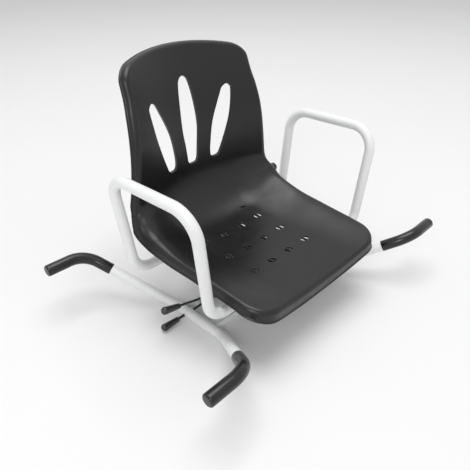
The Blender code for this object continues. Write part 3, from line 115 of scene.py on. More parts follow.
# Hub, bushes and spindle
HUB_RADIUS = 0.025
HUB_BORE = 0.022
WINDOW_HALF_Y = 0.027
WINDOW_HEIGHT = 0.0107
WINDOW_END_X = 0.005
WINDOW_CUT_PAST = 0.002
BUSH_RADIUS = 0.0217
BUSH_BORE = 0.0192
LOWER_BUSH_LIFT = 0.0117
LOWER_BUSH_LENGTH = 0.011
UPPER_BUSH_LENGTH = 0.023
BUSH_FLANGE = 0.0027
THRUST_WASHER = 0.002
SPINDLE_RADIUS = 0.019
SPINDLE_BORE = 0.010
GROOVE_RADIUS = 0.015
GROOVE_HEIGHT = 0.004
COLLAR_RADIUS = 0.028
COLLAR_HEIGHT = 0.0064

# Index plate and carrier plate
INDEX_PLATE_RADIUS = 0.095
INDEX_STOPS = 4
CARRIER_HALF_X = 0.065
CARRIER_HALF_Y = 0.127
LUG_MARGIN = 0.016
PLATE_CORNER = 0.006

# Fasteners
SCREW_RADIUS = 0.0029
SCREW_HOLE = 0.0032
HEAD_RADIUS = 0.0055
HEAD_HEIGHT = 0.0034
HEAD_CROWN_ANGLES = (1.3, 1.05, 0.75, 0.45)
SCREW_TIP = 0.0005
SOCKET_RADIUS = 0.0023
SOCKET_DEPTH = 0.0018
WASHER_RADIUS = 0.007
WASHER_THICKNESS = 0.0012
SEAT_SCREW_X = 0.085
SEAT_SCREW_BITE = 0.0045
CARRIER_BOLT_X = 0.045
CARRIER_BOLT_BITE = 0.013

# Seat lock
PIN_X = -0.080
PIN_Y = -0.010
PIN_RADIUS = 0.005
PIN_LENGTH = 0.0432
PIN_TIP = 0.0009
PIN_SLOT_WIDTH = 0.0056
PIN_SLOT_HEIGHT = 0.0072
GUIDE_RADIUS = 0.008
GUIDE_BORE = 0.0053
GUIDE_LENGTH = 0.0224
PIVOT_X = -0.040
PIVOT_Z = -0.036
PIVOT_RADIUS = 0.003
PIVOT_HEAD_RADIUS = 0.005
PIVOT_HEAD = 0.002
CLIP_THICKNESS = 0.001
CLIP_ROUNDING = 0.0002
LEVER_EYE_RADIUS = 0.005
LEVER_EYE_WIDTH = 0.012
LEVER_BEND = 0.030
LEVER_END_ROUNDING = 0.0004
LEVER_IN_EYE = 0.0008
LEVER_SHORT_OF_SOCKET = 0.001
LEVER_ELBOW_X = -0.1665
LEVER_TIP_X = -0.268
LEVER_TIP_Z = -0.010
EAR_INNER_Y = 0.0063
EAR_OUTER_Y = 0.0093
BRACKET_HALF_X = 0.009
BRACKET_WALL = 0.003
BRACKET_OUTER_BEND = 0.003
BRACKET_INNER_BEND = 0.001
BRACKET_LOW_Z = -0.044

# Pull rod
ROD_Y = 0.027
ROD_BUSH_RADIUS = 0.0045
ROD_BUSH_PROUD = 0.0015
ROD_BUSH_ROUNDING = 0.0003
ROD_COLLAR_RADIUS = 0.0052
ROD_COLLAR_LENGTH = 0.004
COLLAR_TO_TONGUE = 0.008
ROD_PAST_TONGUE = 0.016
FORK_THICKNESS = 0.003
FORK_TIP_X = 0.002
FORK_HALF_Y = 0.024
FORK_TAIL_X = -0.038
FORK_TONGUE_X = -0.072
FORK_TONGUE_HALF_Y = 0.005
FORK_SLANT = 0.008
FORK_GUSSET = 0.012
FORK_SLOT = 0.0154
FORK_SLOT_STEPS = 32
GUIDE_TAB_X = -0.127
GUIDE_TAB_WALL = 0.003
GUIDE_TAB_HALF_Y = 0.010
GUIDE_TAB_HEIGHT = 0.0147
GUIDE_TAB_CORNER = 0.004
SPRING_TURNS = 6
SPRING_RADIUS = 0.005
SPRING_WIRE = 0.0006
SPRING_END_ROUNDING = 0.0002
SPRING_TURN_STEPS = 24
ROD_GRIP_START_X = -0.201

# Grips
GRIP_SOCKET = 0.022
GRIP_NOSE_FLAT = 0.001
GRIP_NOSE_STEPS = 10
GRIP_FULLNESS = 0.92
GRIP_TAPER = 0.9
GRIP_TAPER_SHARES = (0.75, 0.5, 0.25, 0.08)
GRIP_RING = 0.0002
GRIP_RING_HIGH = 0.0030
GRIP_RING_LOW = 0.0045
GRIP_NECK_EDGE = 0.0012
GRIP_NECK_BREAK = 0.0004

# Flats round turned and swept pieces, and steps along their bends and ends
PLATE_SIDES = 160
LARGE_SIDES = 96
COPE_SIDES = 64
MIDDLE_SIDES = 48
SMALL_SIDES = 40
SCREW_HOLE_SIDES = 32
LEVER_SIDES = 28
WIRE_SIDES = 12
SOCKET_SIDES = 6
SLEEVE_EXTRA_SIDES = 8
SLEEVE_BEND_STEPS = 24
SLEEVE_END_STEPS = 8
WIRE_END_STEPS = 2

# Seat shell: centre line from the front edge over the pan and up the back.
# Its length is a tenth of a millimetre short of the solid's, so that the shell stays in its box.
SEAT_FRONT_Y = -0.1907
SEAT_FRONT_Z = 0.0256
PAN_LENGTH = 0.279
TURN_END = 0.439
SEAT_LENGTH = 0.7080
SEAT_SLOPES = (
    (0.0, 2.0),
    (0.040, 0.3),
    (0.095, -1.5),
    (0.160, 0.5),
    (0.217, 3.0),
    (PAN_LENGTH, 7.0),
    (TURN_END, 91.4),
    (SEAT_LENGTH, 71.7),
)
SEAT_HALF_WIDTHS = (
    (0.0, 0.1886),
    (0.147, 0.1940),
    (0.220, 0.1950),
    (0.295, 0.1895),
    (0.365, 0.1866),
    (0.406, 0.1842),
    (0.434, 0.1846),
    (0.502, 0.1765),
    (0.570, 0.1683),
    (0.637, 0.1590),
    (SEAT_LENGTH, 0.1554),
)
SEAT_DISHING = (
    (0.0, 1.0),
    (0.170, 1.0),
    (PAN_LENGTH, 1.45),
    (0.359, 2.04),
    (TURN_END, 2.62),
    (0.569, 3.51),
    (SEAT_LENGTH, 3.08),
)
SEAT_EDGE_RISE = (
    (0.0, 0.0022),
    (0.147, 0.0181),
    (0.220, 0.0203),
    (0.289, 0.0262),
    (0.353, 0.0226),
    (0.406, 0.0100),
    (TURN_END, 0.0035),
    (0.555, 0.0),
    (SEAT_LENGTH, 0.0),
)
EDGE_RISE_START = 0.5
FRONT_CORNER = 0.040
FRONT_BOW = 0.0062
FRONT_BOW_REACH = 0.080
TOP_CORNER = 0.0245
TOP_ARCH = 0.0305
TOP_ARCH_REACH = 0.102
RIM_SWELLS = (
    (0.0, 0.0),
    (0.160, 0.0),
    (0.220, 0.0025),
    (0.280, 0.0090),
    (0.340, 0.0125),
    (0.375, 0.0095),
    (0.406, 0.0050),
    (TURN_END, 0.0015),
    (0.475, 0.0),
    (SEAT_LENGTH, 0.0),
)
RIM_DROPS = (
    (0.0, 0.0168),
    (0.045, 0.0110),
    (SEAT_LENGTH - 0.045, 0.0095),
    (SEAT_LENGTH, 0.0087),
)
DRAIN_XS = (-0.084, -0.028, 0.028, 0.084)
DRAIN_YS = (-0.083, -0.012, 0.057)
DRAIN_CORNER = 0.0008
MIDDLE_SLOT = (
    (0.0, 0.1575),
    (0.0095, 0.1585),
    (0.0145, 0.1650),
    (0.0165, 0.1780),
    (0.0193, 0.2030),
    (0.0238, 0.2420),
    (0.0217, 0.2920),
    (0.0160, 0.3340),
    (0.0095, 0.3468),
    (0.0, 0.3510),
)
OUTER_SLOT = (
    (0.0640, 0.1580),
    (0.0740, 0.1600),
    (0.0805, 0.1690),
    (0.0966, 0.2105),
    (0.1097, 0.2535),
    (0.1180, 0.3030),
    (0.1158, 0.3140),
    (0.1070, 0.3195),
    (0.0970, 0.3150),
    (0.0893, 0.3040),
    (0.0626, 0.2440),
    (0.0524, 0.1920),
    (0.0513, 0.1690),
    (0.0550, 0.1600),
)
BOSS_RADIUS = 0.011
BOSS_EDGE = 0.0006
BOSS_IN_SHEET = 0.6

# Camera that matches the photograph, for an image as tall as it is wide
CAMERA_PLACE = Vector((-0.70332, -0.62502, 0.62220))
CAMERA_AZIMUTH = -46.118
CAMERA_ELEVATION = 31.774
CAMERA_ROLL = 0.2235
CAMERA_FOCAL_SHARE = 1.06124
CAMERA_SENSOR = 36.0
CAMERA_NEAR = 0.02
CAMERA_FAR = 60.0

# Stage
FLOOR_REACH = 14.0
FLOOR_FLAT_SHARE = 0.6
FLOOR_RISE = 2.5
FLOOR_CELLS = 28
AIR_TOP = 0.8
KEY_PLACE = (0.3, 0.2, 5.0)
KEY_WIDTH = 4.2
FILL_PLACE = (-3.8, -2.2, 2.6)
FILL_WIDTH = 2.4
LAMP_TARGET = (0.0, 0.0, 0.1)


# Settings that a user would change

def length_setting(name, description, default, least):
    return FloatProperty(
        name=name, description=description, default=default, min=least,
        subtype="DISTANCE", unit="LENGTH",
    )


def colour_setting(name, description, colour):
    return FloatVectorProperty(
        name=name, description=description, default=colour,
        min=0.0, max=1.0, size=3, subtype="COLOR",
    )


def strength_setting(name, description, default, most=10.0):
    return FloatProperty(name=name, description=description, default=default, min=0.0, max=most)


def power_setting(name, description, default):
    return FloatProperty(name=name, description=description, default=default, min=0.0, unit="POWER")


class ShellSettings(bpy.types.PropertyGroup):
    thickness: length_setting("Wall", "Thickness of the moulded sheet", 0.0036, 0.001)
    rim_radius: length_setting(
        "Rim roll", "Radius on which the sheet rolls over into its rim", 0.010, 0.005,
    )
    lip_flare: length_setting(
        "Lip flare", "How far the foot of the rim flares outwards", 0.002, 0.0,
    )
    lip_height: length_setting(
        "Lip height", "Height over which the foot of the rim flares", 0.004, 0.001,
    )
    drain_radius: length_setting("Drain radius", "Radius of each round drain", 0.009, 0.002)
    drain_bar: length_setting("Drain bar", "Width of the bar that crosses each drain", 0.005, 0.001)
    hole_edge: length_setting(
        "Hole edge", "Rounding of the edges of the slots and drains", 0.0008, 0.0001,
    )
    collar_wall: length_setting(
        "Collar wall", "Wall of the collars that stand behind the slots", 0.0024, 0.001,
    )
    collar_depth: length_setting(
        "Collar depth", "Depth of the slots from the front of the sheet to the back of their collars",
        0.0080, 0.005,
    )
    mesh_step: length_setting("Mesh step", "Spacing of the sheet's mesh", 0.0065, 0.003)


class TubingSettings(bpy.types.PropertyGroup):
    tube_radius: length_setting("Tube radius", "Outer radius of the bent steel tube", 0.011, 0.003)
    sleeve_radius: length_setting(
        "Sleeve radius", "Outer radius of the rubber sleeves", 0.0125, 0.004,
    )
    sleeve_cap: length_setting(
        "Sleeve cap", "Thickness of the closed end of a sleeve", 0.006, 0.001,
    )
    sleeve_rounding: length_setting(
        "Sleeve rounding", "Rounding of the closed end of a sleeve", 0.004, 0.001,
    )
    tube_sides: IntProperty(
        name="Tube sides",
        description="Number of flats round a tube",
        default=40, min=12,
    )


class MechanismSettings(bpy.types.PropertyGroup):
    edge_break: length_setting(
        "Edge break", "Rounding of the edges of cut and turned steel", 0.0004, 0.0001,
    )
    lever_radius: length_setting("Lever radius", "Radius of the lock lever's rod", 0.0025, 0.001)
    rod_radius: length_setting("Pull rod radius", "Radius of the pull rod", 0.003, 0.001)
    grip_length: length_setting("Grip length", "Length of the two black grips", 0.045, 0.02)
    grip_radius: length_setting("Grip radius", "Radius of a grip at its round end", 0.008, 0.004)
    grip_neck: length_setting("Grip neck", "Radius of a grip at its neck", 0.0055, 0.004)


class ColourSettings(bpy.types.PropertyGroup):
    seat: colour_setting("Seat", "Black moulded plastic of the seat", (0.0045, 0.0045, 0.0048))
    powder: colour_setting("Powder coat", "White powder coat of the tubes", (0.88, 0.885, 0.89))
    rubber: colour_setting("Sleeves", "Black rubber of the rim sleeves", (0.007, 0.007, 0.0074))
    grip: colour_setting("Grips", "Black plastic of the grips and plugs", (0.028, 0.028, 0.0285))
    zinc: colour_setting("Zinc", "Zinc plate on the steel of the mechanism", (0.62, 0.63, 0.65))
    spring: colour_setting("Spring", "Bare spring steel", (0.45, 0.45, 0.47))
    rods: colour_setting("Rods", "Dark passivated steel of the two pull rods", (0.10, 0.10, 0.105))
    nylon: colour_setting("Nylon", "Natural nylon of the bushes", (0.78, 0.77, 0.72))


class StageSettings(bpy.types.PropertyGroup):
    floor: colour_setting("Floor", "Colour of the pale floor", (0.88, 0.88, 0.88))
    air_above: strength_setting("Air above", "Strength of the soft light from above", 0.56)
    air_level: strength_setting("Air at eye level", "Strength of the soft light from the horizon", 0.36)
    key: power_setting("Key lamp", "Power of the wide lamp over the seat", 146.0)
    fill: power_setting("Fill lamp", "Power of the lamp on the camera's side", 60.0)
    surround: strength_setting(
        "Surround", "Brightness of the pale surround that is seen and mirrored", 0.86, 1.0,
    )


# Node helpers

def add_node(tree, kind, inputs=None, **settings):
    node = tree.nodes.new(kind)
    for key, value in settings.items():
        setattr(node, key, value)
    for key, value in (inputs or {}).items():
        node.inputs[key].default_value = value
    return node


def spread(tree, value, low, high, out_low, out_high):
    """Map a value between two limits onto two others."""
    inputs = {"From Min": low, "From Max": high, "To Min": out_low, "To Max": out_high}
    node = add_node(tree, "ShaderNodeMapRange", inputs)
    tree.links.new(value, node.inputs["Value"])
    return node.outputs["Result"]


def shade_between(tree, share, dark, light):
    """A colour between two others."""
    node = add_node(tree, "ShaderNodeMix", data_type="RGBA")
    node.inputs["A"].default_value = (*dark, 1.0)
    node.inputs["B"].default_value = (*light, 1.0)
    tree.links.new(share, node.inputs["Factor"])
    return node.outputs["Result"]


def scaled(colour, share):
    return tuple(min(1.0, channel * share) for channel in colour)


# Finishes

NOISE_LOW = 0.3
NOISE_HIGH = 0.7


class Finish:
    """A material in the making, on the piece's own coordinates in metres."""

    def __init__(self, name):
        self.material = bpy.data.materials.new(name)
        self.material.use_nodes = True
        self.tree = self.material.node_tree
        self.shader = self.tree.nodes["Principled BSDF"]
        self.place = add_node(self.tree, "ShaderNodeTexCoord").outputs["Object"]

    def noise(self, scale, detail, coarseness):
        inputs = {"Scale": scale, "Detail": detail, "Roughness": coarseness}
        node = add_node(self.tree, "ShaderNodeTexNoise", inputs)
        self.tree.links.new(self.place, node.inputs["Vector"])
        return node.outputs["Fac"]

    def mottle(self, colour, dark, light, scale, detail, coarseness=0.5):
        """Cloud the base colour between two shares of it."""
        clouds = self.noise(scale, detail, coarseness)
        share = spread(self.tree, clouds, NOISE_LOW, NOISE_HIGH, 0.0, 1.0)
        shade = shade_between(self.tree, share, scaled(colour, dark), scaled(colour, light))
        self.tree.links.new(shade, self.shader.inputs["Base Color"])

    def wear(self, glossy, dull, scale, detail, coarseness=0.5, low=NOISE_LOW, high=NOISE_HIGH):
        """Vary the roughness between two values, where the noise runs from low to high."""
        marks = self.noise(scale, detail, coarseness)
        roughness = spread(self.tree, marks, low, high, glossy, dull)
        self.tree.links.new(roughness, self.shader.inputs["Roughness"])

    def relief(self, scale, detail, strength, height, coarseness=0.5):
        """Raise the surface by a noise, on top of the relief that it already has."""
        bump = add_node(self.tree, "ShaderNodeBump", {"Strength": strength, "Distance": height})
        self.tree.links.new(self.noise(scale, detail, coarseness), bump.inputs["Height"])
        normal = self.shader.inputs["Normal"]
        if normal.is_linked:
            self.tree.links.new(normal.links[0].from_socket, bump.inputs["Normal"])
        self.tree.links.new(bump.outputs["Normal"], normal)


def moulded_seat_finish(colour):
    """Satin black plastic with a fine eroded grain and faint wiped marks."""
    finish = Finish("black_seat_plastic_grained")
    finish.mottle(colour, dark=0.86, light=1.18, scale=9.0, detail=4.0)
    finish.wear(glossy=0.30, dull=0.39, scale=46.0, detail=6.0, coarseness=0.62, low=0.35)
    finish.relief(scale=1500.0, detail=2.0, coarseness=0.55, strength=0.32, height=0.00012)
    finish.relief(scale=60.0, detail=2.0, strength=0.10, height=0.0006)
    return finish.material


def powder_coat_finish(colour):
    """White powder coat with a soft orange peel."""
    finish = Finish("white_powder_coat_peel")
    finish.mottle(colour, dark=0.965, light=1.01, scale=14.0, detail=3.0)
    finish.wear(glossy=0.26, dull=0.36, scale=90.0, detail=4.0)
    finish.relief(scale=520.0, detail=1.5, coarseness=0.4, strength=0.22, height=0.00014)
    return finish.material


def sleeve_finish(colour):
    """Black rubber, slightly glossy, with handling marks and faint waves."""
    finish = Finish("black_rubber_sleeve")
    finish.mottle(colour, dark=0.88, light=1.2, scale=26.0, detail=5.0, coarseness=0.6)
    finish.wear(glossy=0.18, dull=0.28, scale=130.0, detail=6.0, coarseness=0.65, low=0.32, high=0.72)
    finish.relief(scale=800.0, detail=2.0, strength=0.14, height=0.00008)
    finish.relief(scale=120.0, detail=2.0, strength=0.10, height=0.0005)
    return finish.material


def grip_finish(colour):
    """Hard black plastic, polished by the hand."""
    finish = Finish("black_grip_plastic_polished")
    finish.mottle(colour, dark=0.85, light=1.35, scale=60.0, detail=4.0)
    finish.wear(glossy=0.18, dull=0.30, scale=210.0, detail=5.0, coarseness=0.6)
    finish.relief(scale=1100.0, detail=2.0, strength=0.15, height=0.00008)
    return finish.material


def steel_finish(name, colour, glossy, dull):
    """Plated or bare steel: cloudy spangle and fine lines left by rolling and turning."""
    finish = Finish(name)
    finish.shader.inputs["Metallic"].default_value = 1.0
    finish.mottle(colour, dark=0.80, light=1.08, scale=170.0, detail=5.0, coarseness=0.65)
    finish.wear(glossy, dull, scale=60.0, detail=5.0, coarseness=0.6)
    finish.relief(scale=1900.0, detail=3.0, coarseness=0.6, strength=0.18, height=0.00006)
    return finish.material


def nylon_finish(colour):
    """Natural nylon, a little cloudy, dull from the tool."""
    finish = Finish("natural_nylon_turned")
    finish.mottle(colour, dark=0.90, light=1.03, scale=70.0, detail=4.0)
    finish.wear(glossy=0.42, dull=0.56, scale=300.0, detail=3.0)
    finish.relief(scale=900.0, detail=2.0, strength=0.15, height=0.00008)
    return finish.material


def floor_finish(colour):
    """Pale matt floor with a hardly visible mottle."""
    finish = Finish("pale_floor")
    finish.mottle(colour, dark=0.99, light=1.005, scale=1.6, detail=3.0)
    finish.wear(glossy=0.75, dull=0.85, scale=30.0, detail=2.0)
    return finish.material


FINISH_MAKERS = {
    "black_seat_plastic": lambda c: moulded_seat_finish(c.seat),
    "white_powder_coat": lambda c: powder_coat_finish(c.powder),
    "black_rubber": lambda c: sleeve_finish(c.rubber),
    "black_grip": lambda c: grip_finish(c.grip),
    "zinc_steel": lambda c: steel_finish("zinc_plate_cloudy", c.zinc, 0.24, 0.42),
    "spring_steel": lambda c: steel_finish("spring_steel_drawn", c.spring, 0.20, 0.34),
    "dark_rod": lambda c: steel_finish("dark_passivated_rod", c.rods, 0.22, 0.34),
    "nylon": lambda c: nylon_finish(c.nylon),
}
FINISHES = {}


def finish_of(name):
    """The material of a slot, or of a finish with a name of its own, made when first asked for."""
    if name not in FINISHES:
        FINISHES[name] = FINISH_MAKERS[name](bpy.context.scene.bath_seat_colours)
    return FINISHES[name]


# Mesh helpers

SHARP_ANGLE = math.radians(38.0)
BREAK_ANGLE = math.radians(50.0)
BREAK_STEPS = 2
FLAT_ANGLE = math.radians(1)
WELD_DISTANCE = 0.00001
LEG_SHARE = 0.45
STRAIGHT_COSINE = 0.999
CUT_REACH = 0.01


def linked(name, data):
    """A new object, linked into the scene."""
    item = bpy.data.objects.new(name, data)
    bpy.context.scene.collection.objects.link(item)
    return item


def smooth(mesh):
    """Shade a mesh smooth but for its sharp edges."""
    mesh.shade_smooth()
    mesh.set_sharp_from_angle(angle=SHARP_ANGLE)


def mesh_object(name, shape, matrix=None):
    """Make an object from a bmesh, and free the bmesh."""
    bmesh.ops.recalc_face_normals(shape, faces=shape.faces)
    mesh = bpy.data.meshes.new(name)
    shape.to_mesh(mesh)
    shape.free()
    if matrix is not None:
        mesh.transform(matrix)
    smooth(mesh)
    return linked(name, mesh)


def settle(piece):
    """Turn a piece's modifiers, or its curve, into plain mesh."""
    bpy.context.view_layer.update()
    depsgraph = bpy.context.evaluated_depsgraph_get()
    mesh = bpy.data.meshes.new_from_object(piece.evaluated_get(depsgraph))
    if piece.type == "MESH":
        piece.modifiers.clear()
        piece.data = mesh
        settled = piece
    else:
        name = piece.name
        bpy.data.objects.remove(piece, do_unlink=True)
        settled = linked(name, mesh)
    mesh.name = settled.name
    smooth(mesh)
    return settled


def carve(piece, *tools):
    """Cut tools out of a piece, and throw the tools away."""
    for tool in tools:
        boolean = piece.modifiers.new("Cut", "BOOLEAN")
        boolean.object = tool
        boolean.solver = "EXACT"
    settle(piece)
    for tool in tools:
        bpy.data.objects.remove(tool, do_unlink=True)


def break_edges(piece, width):
    """Round a piece's sharp edges a little, as cut steel has them."""
    bevel = piece.modifiers.new("Edges", "BEVEL")
    bevel.width = width
    bevel.segments = BREAK_STEPS
    bevel.limit_method = "ANGLE"
    bevel.angle_limit = BREAK_ANGLE
    bevel.use_clamp_overlap = True
    settle(piece)


def dress(piece, slot, body, *nodes, finish=None):
    """Give a piece its finish and body, and let it stand for its nodes."""
    piece.data.materials.clear()
    piece.data.materials.append(finish_of(finish or slot))
    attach(piece, body)
    if nodes:
        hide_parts(*nodes)


def aim(place, direction):
    """The matrix that stands +Z on a place, pointing in a direction."""
    turn = Vector(direction).to_track_quat("Z", "Y").to_matrix().to_4x4()
    return Matrix.Translation(place) @ turn


def upright(x, y, z):
    """The matrix that stands a plate up across X; its x then runs along Y, and its y along Z."""
    return Matrix(((0, 0, 1, x), (1, 0, 0, y), (0, 1, 0, z), (0, 0, 0, 1)))


def corner_arc(before, corner, after, radius, steps):
    """Points of the arc that rounds a corner, from its first leg to its second."""
    back = (before - corner).normalized()
    onward = (after - corner).normalized()
    half_angle = back.angle(onward) / 2
    centre = corner + (back + onward).normalized() * radius / math.sin(half_angle)
    reach = radius / math.tan(half_angle)
    first = (corner + back * reach - centre).normalized()
    last = (corner + onward * reach - centre).normalized()
    return [centre + radius * first.slerp(last, step / steps) for step in range(steps + 1)]


def bent_path(corners, bends, steps=BEND_STEPS):
    """Points of a path that turns each inner corner on an arc of its own radius."""
    points = [Vector(corner) for corner in corners]
    path = [points[0]]
    for before, corner, after, bend in zip(points, points[1:], points[2:], bends):
        path.extend(corner_arc(before, corner, after, bend, steps))
    path.append(points[-1])
    return path


def eased_corner(start, corner, end, t):
    """A point of the curve that rounds a corner; t runs from 0 to 1."""
    return start * (1 - t) ** 2 + corner * 2 * t * (1 - t) + end * t**2


def rounded_end(radius, rounding, steps=3):
    """(distance from the end, radius) pairs from an end's flat out to the full radius."""
    pairs = []
    for step in range(steps + 1):
        angle = math.pi / 2 * step / steps
        pairs.append((rounding * (1 - math.cos(angle)), radius - rounding * (1 - math.sin(angle))))
    return pairs


def bridge(shape, low, high):
    """Faces between two rings of vertices, or between a ring and a point."""
    count = max(len(low), len(high))
    for index in range(count):
        onward = (index + 1) % count
        if len(low) == 1:
            shape.faces.new((low[0], high[onward], high[index]))
        elif len(high) == 1:
            shape.faces.new((low[index], low[onward], high[0]))
        else:
            shape.faces.new((low[index], low[onward], high[onward], high[index]))


def swept_bar(name, path, radius, start_end, far_end, sides):
    """A closed round bar along a path; both ends are lists from rounded_end."""
    stations = []
    heading = (path[1] - path[0]).normalized()
    for back, share in start_end:
        stations.append((path[0] + heading * back, heading, share))
    for before, point, after in zip(path, path[1:], path[2:]):
        tangent = ((point - before).normalized() + (after - point).normalized()).normalized()
        stations.append((point, tangent, radius))
    heading = (path[-1] - path[-2]).normalized()
    for back, share in reversed(far_end):
        stations.append((path[-1] - heading * back, heading, share))
    shape = bmesh.new()
    across = stations[0][1].orthogonal().normalized()
    rings = []
    for centre, tangent, share in stations:
        across = (across - tangent * across.dot(tangent)).normalized()
        beside = tangent.cross(across)
        ring = []
        for step in range(sides):
            angle = math.tau * step / sides
            offset = across * math.cos(angle) + beside * math.sin(angle)
            ring.append(shape.verts.new(centre + offset * share))
        rings.append(ring)
    for low, high in zip(rings, rings[1:]):
        bridge(shape, low, high)
    for ring, place in ((rings[0], stations[0][0]), (rings[-1], stations[-1][0])):
        bridge(shape, ring, [shape.verts.new(place)])
    return mesh_object(name, shape)


def softened(profile, radius, closed, steps=3):
    """Round the corners of a turned profile, but for those on its axis."""
    points = [Vector((r, h)) for r, h in profile]
    count = len(points)
    result = []
    for index, corner in enumerate(points):
        end = not closed and index in (0, count - 1)
        if end or corner.x == 0.0:
            result.append(tuple(corner))
            continue
        back = points[index - 1] - corner
        onward = points[(index + 1) % count] - corner
        if abs(back.normalized().dot(onward.normalized())) > STRAIGHT_COSINE:
            result.append(tuple(corner))
            continue
        reach = min(radius, back.length * LEG_SHARE, onward.length * LEG_SHARE)
        start = corner + back.normalized() * reach
        stop = corner + onward.normalized() * reach
        for step in range(steps + 1):
            result.append(tuple(eased_corner(start, corner, stop, step / steps)))
    return result


def turned(name, profile, sides, rounding=0.0, matrix=None):
    """Turn a profile of (radius, height) points about +Z; it closes on itself or on the axis."""
    closed = not (profile[0][0] == 0.0 and profile[-1][0] == 0.0)
    if rounding:
        profile = softened(profile, rounding, closed)
    shape = bmesh.new()
    rings = []
    for radius, height in profile:
        if radius == 0.0:
            rings.append([shape.verts.new((0.0, 0.0, height))])
            continue
        ring = []
        for step in range(sides):
            angle = math.tau * step / sides
            place = (radius * math.cos(angle), radius * math.sin(angle), height)
            ring.append(shape.verts.new(place))
        rings.append(ring)
    pairs = list(zip(rings, rings[1:]))
    if closed:
        pairs.append((rings[-1], rings[0]))
    for low, high in pairs:
        bridge(shape, low, high)
    return mesh_object(name, shape, matrix)


def ring_profile(bore, radius, bottom, top):
    return [(radius, top), (radius, bottom), (bore, bottom), (bore, top)]


def rod_tool(start, end, radius, sides=MIDDLE_SIDES):
    """A plain bar to cut with."""
    along = Vector(end) - Vector(start)
    profile = [(0.0, along.length), (radius, along.length), (radius, 0.0), (0.0, 0.0)]
    return turned("cutting_bar", profile, sides, matrix=aim(start, along))


def block_tool(low, high):
    """A plain block to cut with."""
    low = Vector(low)
    high = Vector(high)
    shape = bmesh.new()
    bmesh.ops.create_cube(shape, size=1.0)
    bmesh.ops.scale(shape, vec=high - low, verts=shape.verts)
    return mesh_object("cutting_block", shape, Matrix.Translation((low + high) / 2))


def flat_plate(name, outlines, matrix, thickness):
    """A flat plate: the first outline is its edge and the others its holes."""
    curve = bpy.data.curves.new(name, "CURVE")
    curve.dimensions = "2D"
    curve.fill_mode = "BOTH"
    curve.extrude = thickness / 2
    for outline in outlines:
        spline = curve.splines.new("POLY")
        spline.use_cyclic_u = True
        spline.points.add(len(outline) - 1)
        for point, place in zip(spline.points, outline):
            point.co = (place[0], place[1], 0.0, 1.0)
    piece = settle(linked(name, curve))
    shape = bmesh.new()
    shape.from_mesh(piece.data)
    bmesh.ops.remove_doubles(shape, verts=shape.verts, dist=WELD_DISTANCE)
    bmesh.ops.dissolve_limit(shape, angle_limit=FLAT_ANGLE, verts=shape.verts, edges=shape.edges)
    shape.to_mesh(piece.data)
    shape.free()
    piece.data.transform(matrix)
    return piece


def level_plate(name, outlines, low, high):
    """A flat plate that lies between two levels."""
    return flat_plate(name, outlines, Matrix.Translation((0.0, 0.0, (low + high) / 2)), high - low)


def circle(radius, sides, centre=(0.0, 0.0)):
    angles = [math.tau * step / sides for step in range(sides)]
    return [(centre[0] + radius * math.cos(a), centre[1] + radius * math.sin(a)) for a in angles]


def rounded(corners, radius, steps=6):
    """An outline with every corner turned on a small arc; radius may be one for each corner."""
    count = len(corners)
    radii = radius if isinstance(radius, (list, tuple)) else [radius] * count
    points = [Vector((x, y, 0.0)) for x, y in corners]
    outline = []
    for index, corner in enumerate(points):
        if radii[index] == 0.0:
            outline.append((corner.x, corner.y))
            continue
        after = points[(index + 1) % count]
        arc = corner_arc(points[index - 1], corner, after, radii[index], steps)
        outline.extend((point.x, point.y) for point in arc)
    return outline


# Seat shell

CENTRE_STEP = 0.001
NORMAL_REACH = 0.0012
LEVEL_HALVINGS = 30
UNDER_PASSES = 8
SLOT_STEPS = 8
DRAIN_ARC_STEPS = 12
DRAIN_CORNER_STEPS = 3
DRAIN_BAR_STEPS = 5
CORNER_ROWS = 8
MESH_HALF_WIDTH = 0.18
ROLL_STEPS = 8
FLARE_STEPS = 4
LIP_STEPS = 8
LEAST_SPACING = 1e-7


def eased(keys, distance):
    """Read a value from (distance, value) keys, on a smooth curve through them."""
    if distance <= keys[0][0]:
        return keys[0][1]
    if distance >= keys[-1][0]:
        return keys[-1][1]
    index = max(i for i, key in enumerate(keys[:-1]) if key[0] <= distance)
    start, low = keys[index]
    end, high = keys[index + 1]
    span = end - start
    rate_in = rate_out = (high - low) / span
    if index > 0:
        rate_in = (high - keys[index - 1][1]) / (end - keys[index - 1][0])
    if index + 2 < len(keys):
        rate_out = (keys[index + 2][1] - low) / (keys[index + 2][0] - start)
    t = (distance - start) / span
    ends = low * (1 - 3 * t**2 + 2 * t**3) + high * (3 * t**2 - 2 * t**3)
    return ends + span * (rate_in * (t - 2 * t**2 + t**3) + rate_out * (t**3 - t**2))


def linear(keys, distance):
    """Read a value from (distance, value) keys, in straight steps between them."""
    for (start, low), (end, high) in zip(keys, keys[1:]):
        if distance <= end:
            return low + (high - low) * (distance - start) / (end - start)
    return keys[-1][1]


def walk_centre_line():
    """Places and slopes along the centre line, from the front edge to the top."""
    y = SEAT_FRONT_Y
    z = SEAT_FRONT_Z
    stations = [(y, z, math.radians(linear(SEAT_SLOPES, 0.0)))]
    for index in range(1, round(SEAT_LENGTH / CENTRE_STEP) + 1):
        slope = math.radians(linear(SEAT_SLOPES, (index - 0.5) * CENTRE_STEP))
        y += CENTRE_STEP * math.cos(slope)
        z += CENTRE_STEP * math.sin(slope)
        stations.append((y, z, math.radians(linear(SEAT_SLOPES, index * CENTRE_STEP))))
    return stations


CENTRE_LINE = walk_centre_line()


